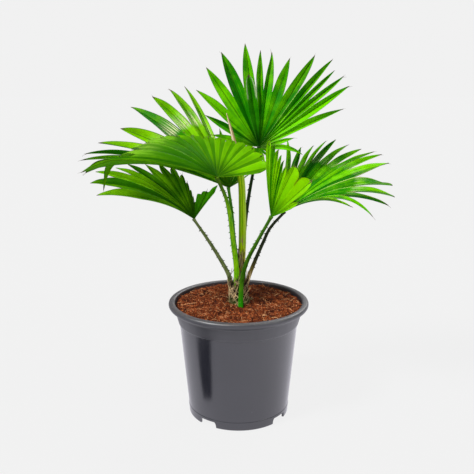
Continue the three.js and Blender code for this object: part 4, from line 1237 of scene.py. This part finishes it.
def make_threads(recipe, skin):
    """Threads drawn out of the leaf tips, some of them double, and pale fibres left in the notches."""
    dice = np.random.default_rng(7)
    points, edges, thickness, tone, far = [], [], [], [], []

    def strand(start, way, length, curl, radius, shade):
        way, curl = unit(way), np.asarray(curl, float)
        first = len(points)
        for k in range(THREAD_STATIONS):
            t = k / (THREAD_STATIONS - 1)
            points.append(start + way * length * t + curl * length * t * t)
            thickness.append(radius * (1 - 0.7 * t) * MM)
            tone.append(shade)
            far.append(t)
        edges.extend((k, k + 1) for k in range(first, len(points) - 1))

    for name, leaf in BLADES.items():
        angles, lengths, ridges, notches = blade_layout(leaf)
        for i, (angle, length) in enumerate(zip(angles, lengths)):
            path = LeafletPath(leaf, angle, length, (notches[i] + notches[i + 1]) / 2, i)
            root = TIP_THREAD_ROOT * min(1.0, length / 100)
            (at,), (way,), _, (side,) = path.along([length - root])
            for _ in range(dice.choice(3, p=TIP_THREADS)):
                curl = side * dice.uniform(-0.22, 0.22) + np.array([0, 0, -0.08]) + dice.normal(0, 0.03, 3)
                strand(at + side * dice.uniform(-0.3, 0.3), way + side * dice.uniform(-0.1, 0.1),
                       root + dice.uniform(1.0, 4.5), curl, dice.uniform(0.26, 0.36), dice.uniform(0.0, 0.4))
        for j, notch in list(enumerate(notches))[1:-1]:
            path = LeafletPath(leaf, ridges[j], notch)
            (at,), (way,), (up,), (side,) = path.along([notch - NOTCH_FIBRE_ROOT])
            for _ in range(dice.integers(0, NOTCH_FIBRES[name] + 1)):
                curl = side * dice.uniform(-0.3, 0.3) + up * dice.uniform(-0.1, 0.25) + np.array([0, 0, -0.1])
                strand(at + up * 0.5, way + side * dice.uniform(-0.12, 0.12),
                       dice.uniform(8, 24) * notch / 110, curl, dice.uniform(0.2, 0.34),
                       dice.uniform(0.2, 1.0))
    mesh = mesh_of("leaf_threads", points, [], edges)
    keep_attributes(mesh, thickness=thickness, tone=tone, far=far)
    dress(settle(put("leaf_threads", mesh), recipe, {"Sides": 4, "Skin": skin}), "leaf_blade")


# ---- camera, floor and light ----
IMAGE_SIZE = 474
FOCAL_PIXELS = 707.0
CAMERA_PLACE = (-2.2, -913.0, 473.0)
CAMERA_DOWN = 13.9
BACKDROP = 0.879
FLOOR_HALF = 9000.0
FLOOR_DROP = -0.3
FLOOR_MATT = 0.02
FLOOR_GLOW = 0.847
FLOOR_BOUNCE = 0.3
SOFT_LIGHT = 0.3
MIRRORED_LIGHT = 0.48
FLOOR_MIRRORED_LEFT = (1.0, 0.98, 1.08, 1.0)
FLOOR_MIRRORED_RIGHT = (1.54, 1.51, 1.66, 1.0)
FLOOR_GRADE = (-0.35, 0.45)
CARD_CORNERS = [(-106.0, -59.0), (-91.0, -91.0), (-217.0, -178.0), (-273.0, -36.0)]
SUNS = {
    "key_light": ((0.62, 0.46, -0.8), 4.3, 14),
    "fill_light": ((-0.8, 0.35, -0.7), 0.95, 40),
    "back_light": ((-0.4, -0.75, -0.8), 1.4, 30),
}


def make_camera():
    camera = bpy.data.objects.new("camera", bpy.data.cameras.new("camera"))
    scene.collection.objects.link(camera)
    camera.data.sensor_width = 36.0
    camera.data.lens = FOCAL_PIXELS / IMAGE_SIZE * camera.data.sensor_width
    camera.location = Vector(CAMERA_PLACE) * MM
    camera.rotation_euler = (math.radians(90 - CAMERA_DOWN), 0, 0)
    scene.camera = camera


def make_floor():
    """Glows evenly for the camera, weakly for matt surfaces, and more to the right for mirror rays."""
    m = Finish("pale_floor")
    speck = m.noise(m.place, 3.0, 2.0)
    matt = m.add("ShaderNodeBsdfDiffuse", {"Color": grey(FLOOR_MATT), "Normal": m.bump(speck, 0.02, 0.001)})
    bounced = m.add("ShaderNodeLightPath", out="Is Diffuse Ray")
    grade = m.ramp(m.split(m.place)[0], *FLOOR_GRADE, smooth=False)
    mirrored = m.mix(grade, FLOOR_MIRRORED_LEFT, FLOOR_MIRRORED_RIGHT)
    tint = m.mix(m.other(bounced, "Is Glossy Ray"), grey(1.0), mirrored)
    glow = bounced * (FLOOR_BOUNCE - FLOOR_GLOW) + FLOOR_GLOW
    lit = m.add("ShaderNodeEmission", {"Color": tint, "Strength": glow})
    m.add("ShaderNodeOutputMaterial", {"Surface": m.add("ShaderNodeAddShader", {0: matt, 1: lit})})
    corners = [(x * FLOOR_HALF, y * FLOOR_HALF, FLOOR_DROP) for x, y in ((-1, -1), (1, -1), (1, 1), (-1, 1))]
    mesh = mesh_of("floor", corners, [(0, 1, 2, 3)])
    put("floor", mesh, m.material)


def make_card():
    """The black card whose mirror image is the dark upright band on the pot."""
    m = Finish("black_card")
    speck = m.noise(m.place, 200.0, 2.0)
    m.colour = m.mix(speck, grey(0.0), (0.003, 0.003, 0.004, 1.0))
    m.surface(0.9, m.bump(speck, 0.1, 0.001), 0.0)
    mesh = mesh_of("black_card", [(x, y, 1.0) for x, y in CARD_CORNERS], [(0, 1, 2, 3)])
    card = put("black_card", mesh, m.material)
    card.visible_camera = card.visible_diffuse = card.visible_shadow = card.visible_transmission = False


def make_light():
    for name, (towards, strength, angle) in SUNS.items():
        lamp = bpy.data.objects.new(name, bpy.data.lights.new(name, "SUN"))
        lamp.data.energy = strength
        lamp.data.angle = math.radians(angle)
        lamp.rotation_euler = Vector(towards).to_track_quat("-Z", "Y").to_euler()
        scene.collection.objects.link(lamp)
    world = bpy.data.worlds.new("studio")
    scene.world = world
    world.use_nodes = True
    g = Graph(world.node_tree)
    world.node_tree.nodes.clear()
    seen = g.add("ShaderNodeLightPath", out="Is Camera Ray")
    strength = g.other(seen, "Is Glossy Ray") * (MIRRORED_LIGHT - SOFT_LIGHT) + SOFT_LIGHT
    plain = g.add("ShaderNodeBackground", {"Color": grey(BACKDROP), "Strength": 1.0})
    soft = g.add("ShaderNodeBackground", {"Color": (0.98, 0.99, 1.0, 1.0), "Strength": strength})
    g.add("ShaderNodeOutputWorld", {"Surface": g.add("ShaderNodeMixShader", {0: seen, 1: soft, 2: plain})})
    scene.view_settings.view_transform = "Standard"


# ---- looks of the stalks and fans, and the whole plant ----
# Each stalk's colours are partly its own and partly painted light and shade for where it stands: the top and
# right stalks are painted dark as shade.
STALK_LOOKS = {
    "stalk_top": ((10, 28, 6), (34, 60, 18), (150, 120, 60), (20, 40, 10), 0.12),
    "stalk_front": ((84, 184, 0), (176, 242, 18), (140, 200, 24), (34, 104, 4), 0.1, 0.8),
    "stalk_rear": ((40, 120, 4), (104, 180, 30), (150, 130, 60), (110, 160, 50), 0.12),
    "stalk_left": ((86, 108, 48), (160, 176, 112), (70, 60, 36), (64, 62, 36), 0.24),
    "stalk_fore_right": ((34, 88, 4), (82, 140, 16), (30, 150, 4), (60, 96, 20), 0.3),
    "stalk_right": ((28, 34, 22), (66, 76, 46), (210, 180, 90), (50, 60, 34), 0.42),
}
# Each fan's greens are partly its own and partly painted light and shade for where it stands, darker for some
# fans and lighter for others.
LEAF_LOOKS = {
    "blade_top": dict(
        greens=((4, 92, 0), (40, 160, 0), (130, 218, 0), (196, 230, 116), (140, 230, 0), (0, 34, 0)),
        tone_and_fold_light=0.45, outer=0.25, split=6.0, painted_sunlight=(10.5, 14.0, (120, 216, 0))),
    "blade_front": dict(
        greens=((34, 100, 0), (80, 144, 0), (118, 186, 0), (150, 206, 20), (140, 220, 0), (24, 76, 0)),
        tone_and_fold_light=0.35, painted_sunlight=(6.5, 11.5, (134, 212, 0)), sided_shade=0.75, crest_highlight=(3.0, 7.0, (176, 214, 84))),
    "blade_rear": dict(
        greens=((8, 108, 0), (80, 180, 0), (164, 230, 4), (214, 238, 130), (170, 236, 0), (8, 60, 0)),
        pale=1.0, tone_and_fold_light=0.7, outer=0.5),
    "blade_left": dict(
        greens=((32, 98, 0), (84, 156, 0), (136, 200, 10), (150, 200, 60), (130, 214, 0), (20, 72, 0)),
        tone_and_fold_light=0.6, painted_sunlight=(12.5, 13.5, (110, 236, 0))),
    "blade_fore_right": dict(
        greens=((40, 134, 0), (104, 194, 0), (160, 228, 4), (206, 236, 90), (170, 236, 0), (30, 106, 0)),
        tone_and_fold_light=0.6, rim=(110, 90, 10), painted_sunlight=(5.5, 6.5, (160, 232, 0)), sided_shade=0.3),
    "blade_right": dict(
        greens=((0, 92, 0), (40, 160, 0), (140, 222, 0), (206, 236, 120), (150, 230, 0), (0, 60, 0)),
        pale=0.3, tone_and_fold_light=0.6, rim=(160, 176, 20), sided_shade=0.3),
    "folded_leaflet": dict(
        greens=((4, 78, 0), (20, 120, 0), (60, 160, 0), (120, 190, 60), (90, 190, 0), (0, 34, 0)),
        tone_and_fold_light=0.3, rim=(222, 236, 190), rim_from=0.6, rim_start=0.4),
}

make_camera()
make_floor()
make_card()
make_light()
make_pot(pot_plastic())
bed = make_soil_bed(coir("coir_bed", rgb(50, 20, 6), rgb(100, 46, 20), rgb(134, 66, 32)))
make_soil_cover(bed, coir("coir_crumb", rgb(46, 16, 4), rgb(130, 60, 28), rgb(186, 104, 56)),
                coir("coir_fibre", rgb(84, 34, 10), rgb(160, 82, 40), rgb(230, 176, 124), 0.3))

fibre = fibre_brown("old_leaf_base", rgb(20, 10, 2), rgb(70, 44, 18))
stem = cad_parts["stem_base"]
stem.data.materials.clear()
stem.data.materials.append(fibre)

rod = rod_recipe()
make_stalks(rod, {name: stalk_skin(name + "_skin", *look) for name, look in STALK_LOOKS.items()})
make_spear(rod, spear_skin())
make_sheath(strand_recipe(), fibre, fibre_brown("sheath_strand", rgb(52, 26, 8), rgb(250, 220, 166), 0.4))

leaf_skins = {name: leaf_skin(name + "_skin", **look) for name, look in LEAF_LOOKS.items()}
for number, (name, leaf) in enumerate(BLADES.items()):
    make_blade(name, leaf, leaf_skins[name], 100 + number, name)
make_blade("blade_top_basal", BASAL_LEAFLETS, leaf_skins["blade_fore_right"], 120)
make_blade("blade_top_folded", FOLDED_LEAFLET, leaf_skins["folded_leaflet"], 121)
make_threads(thread_recipe(), thread_skin())
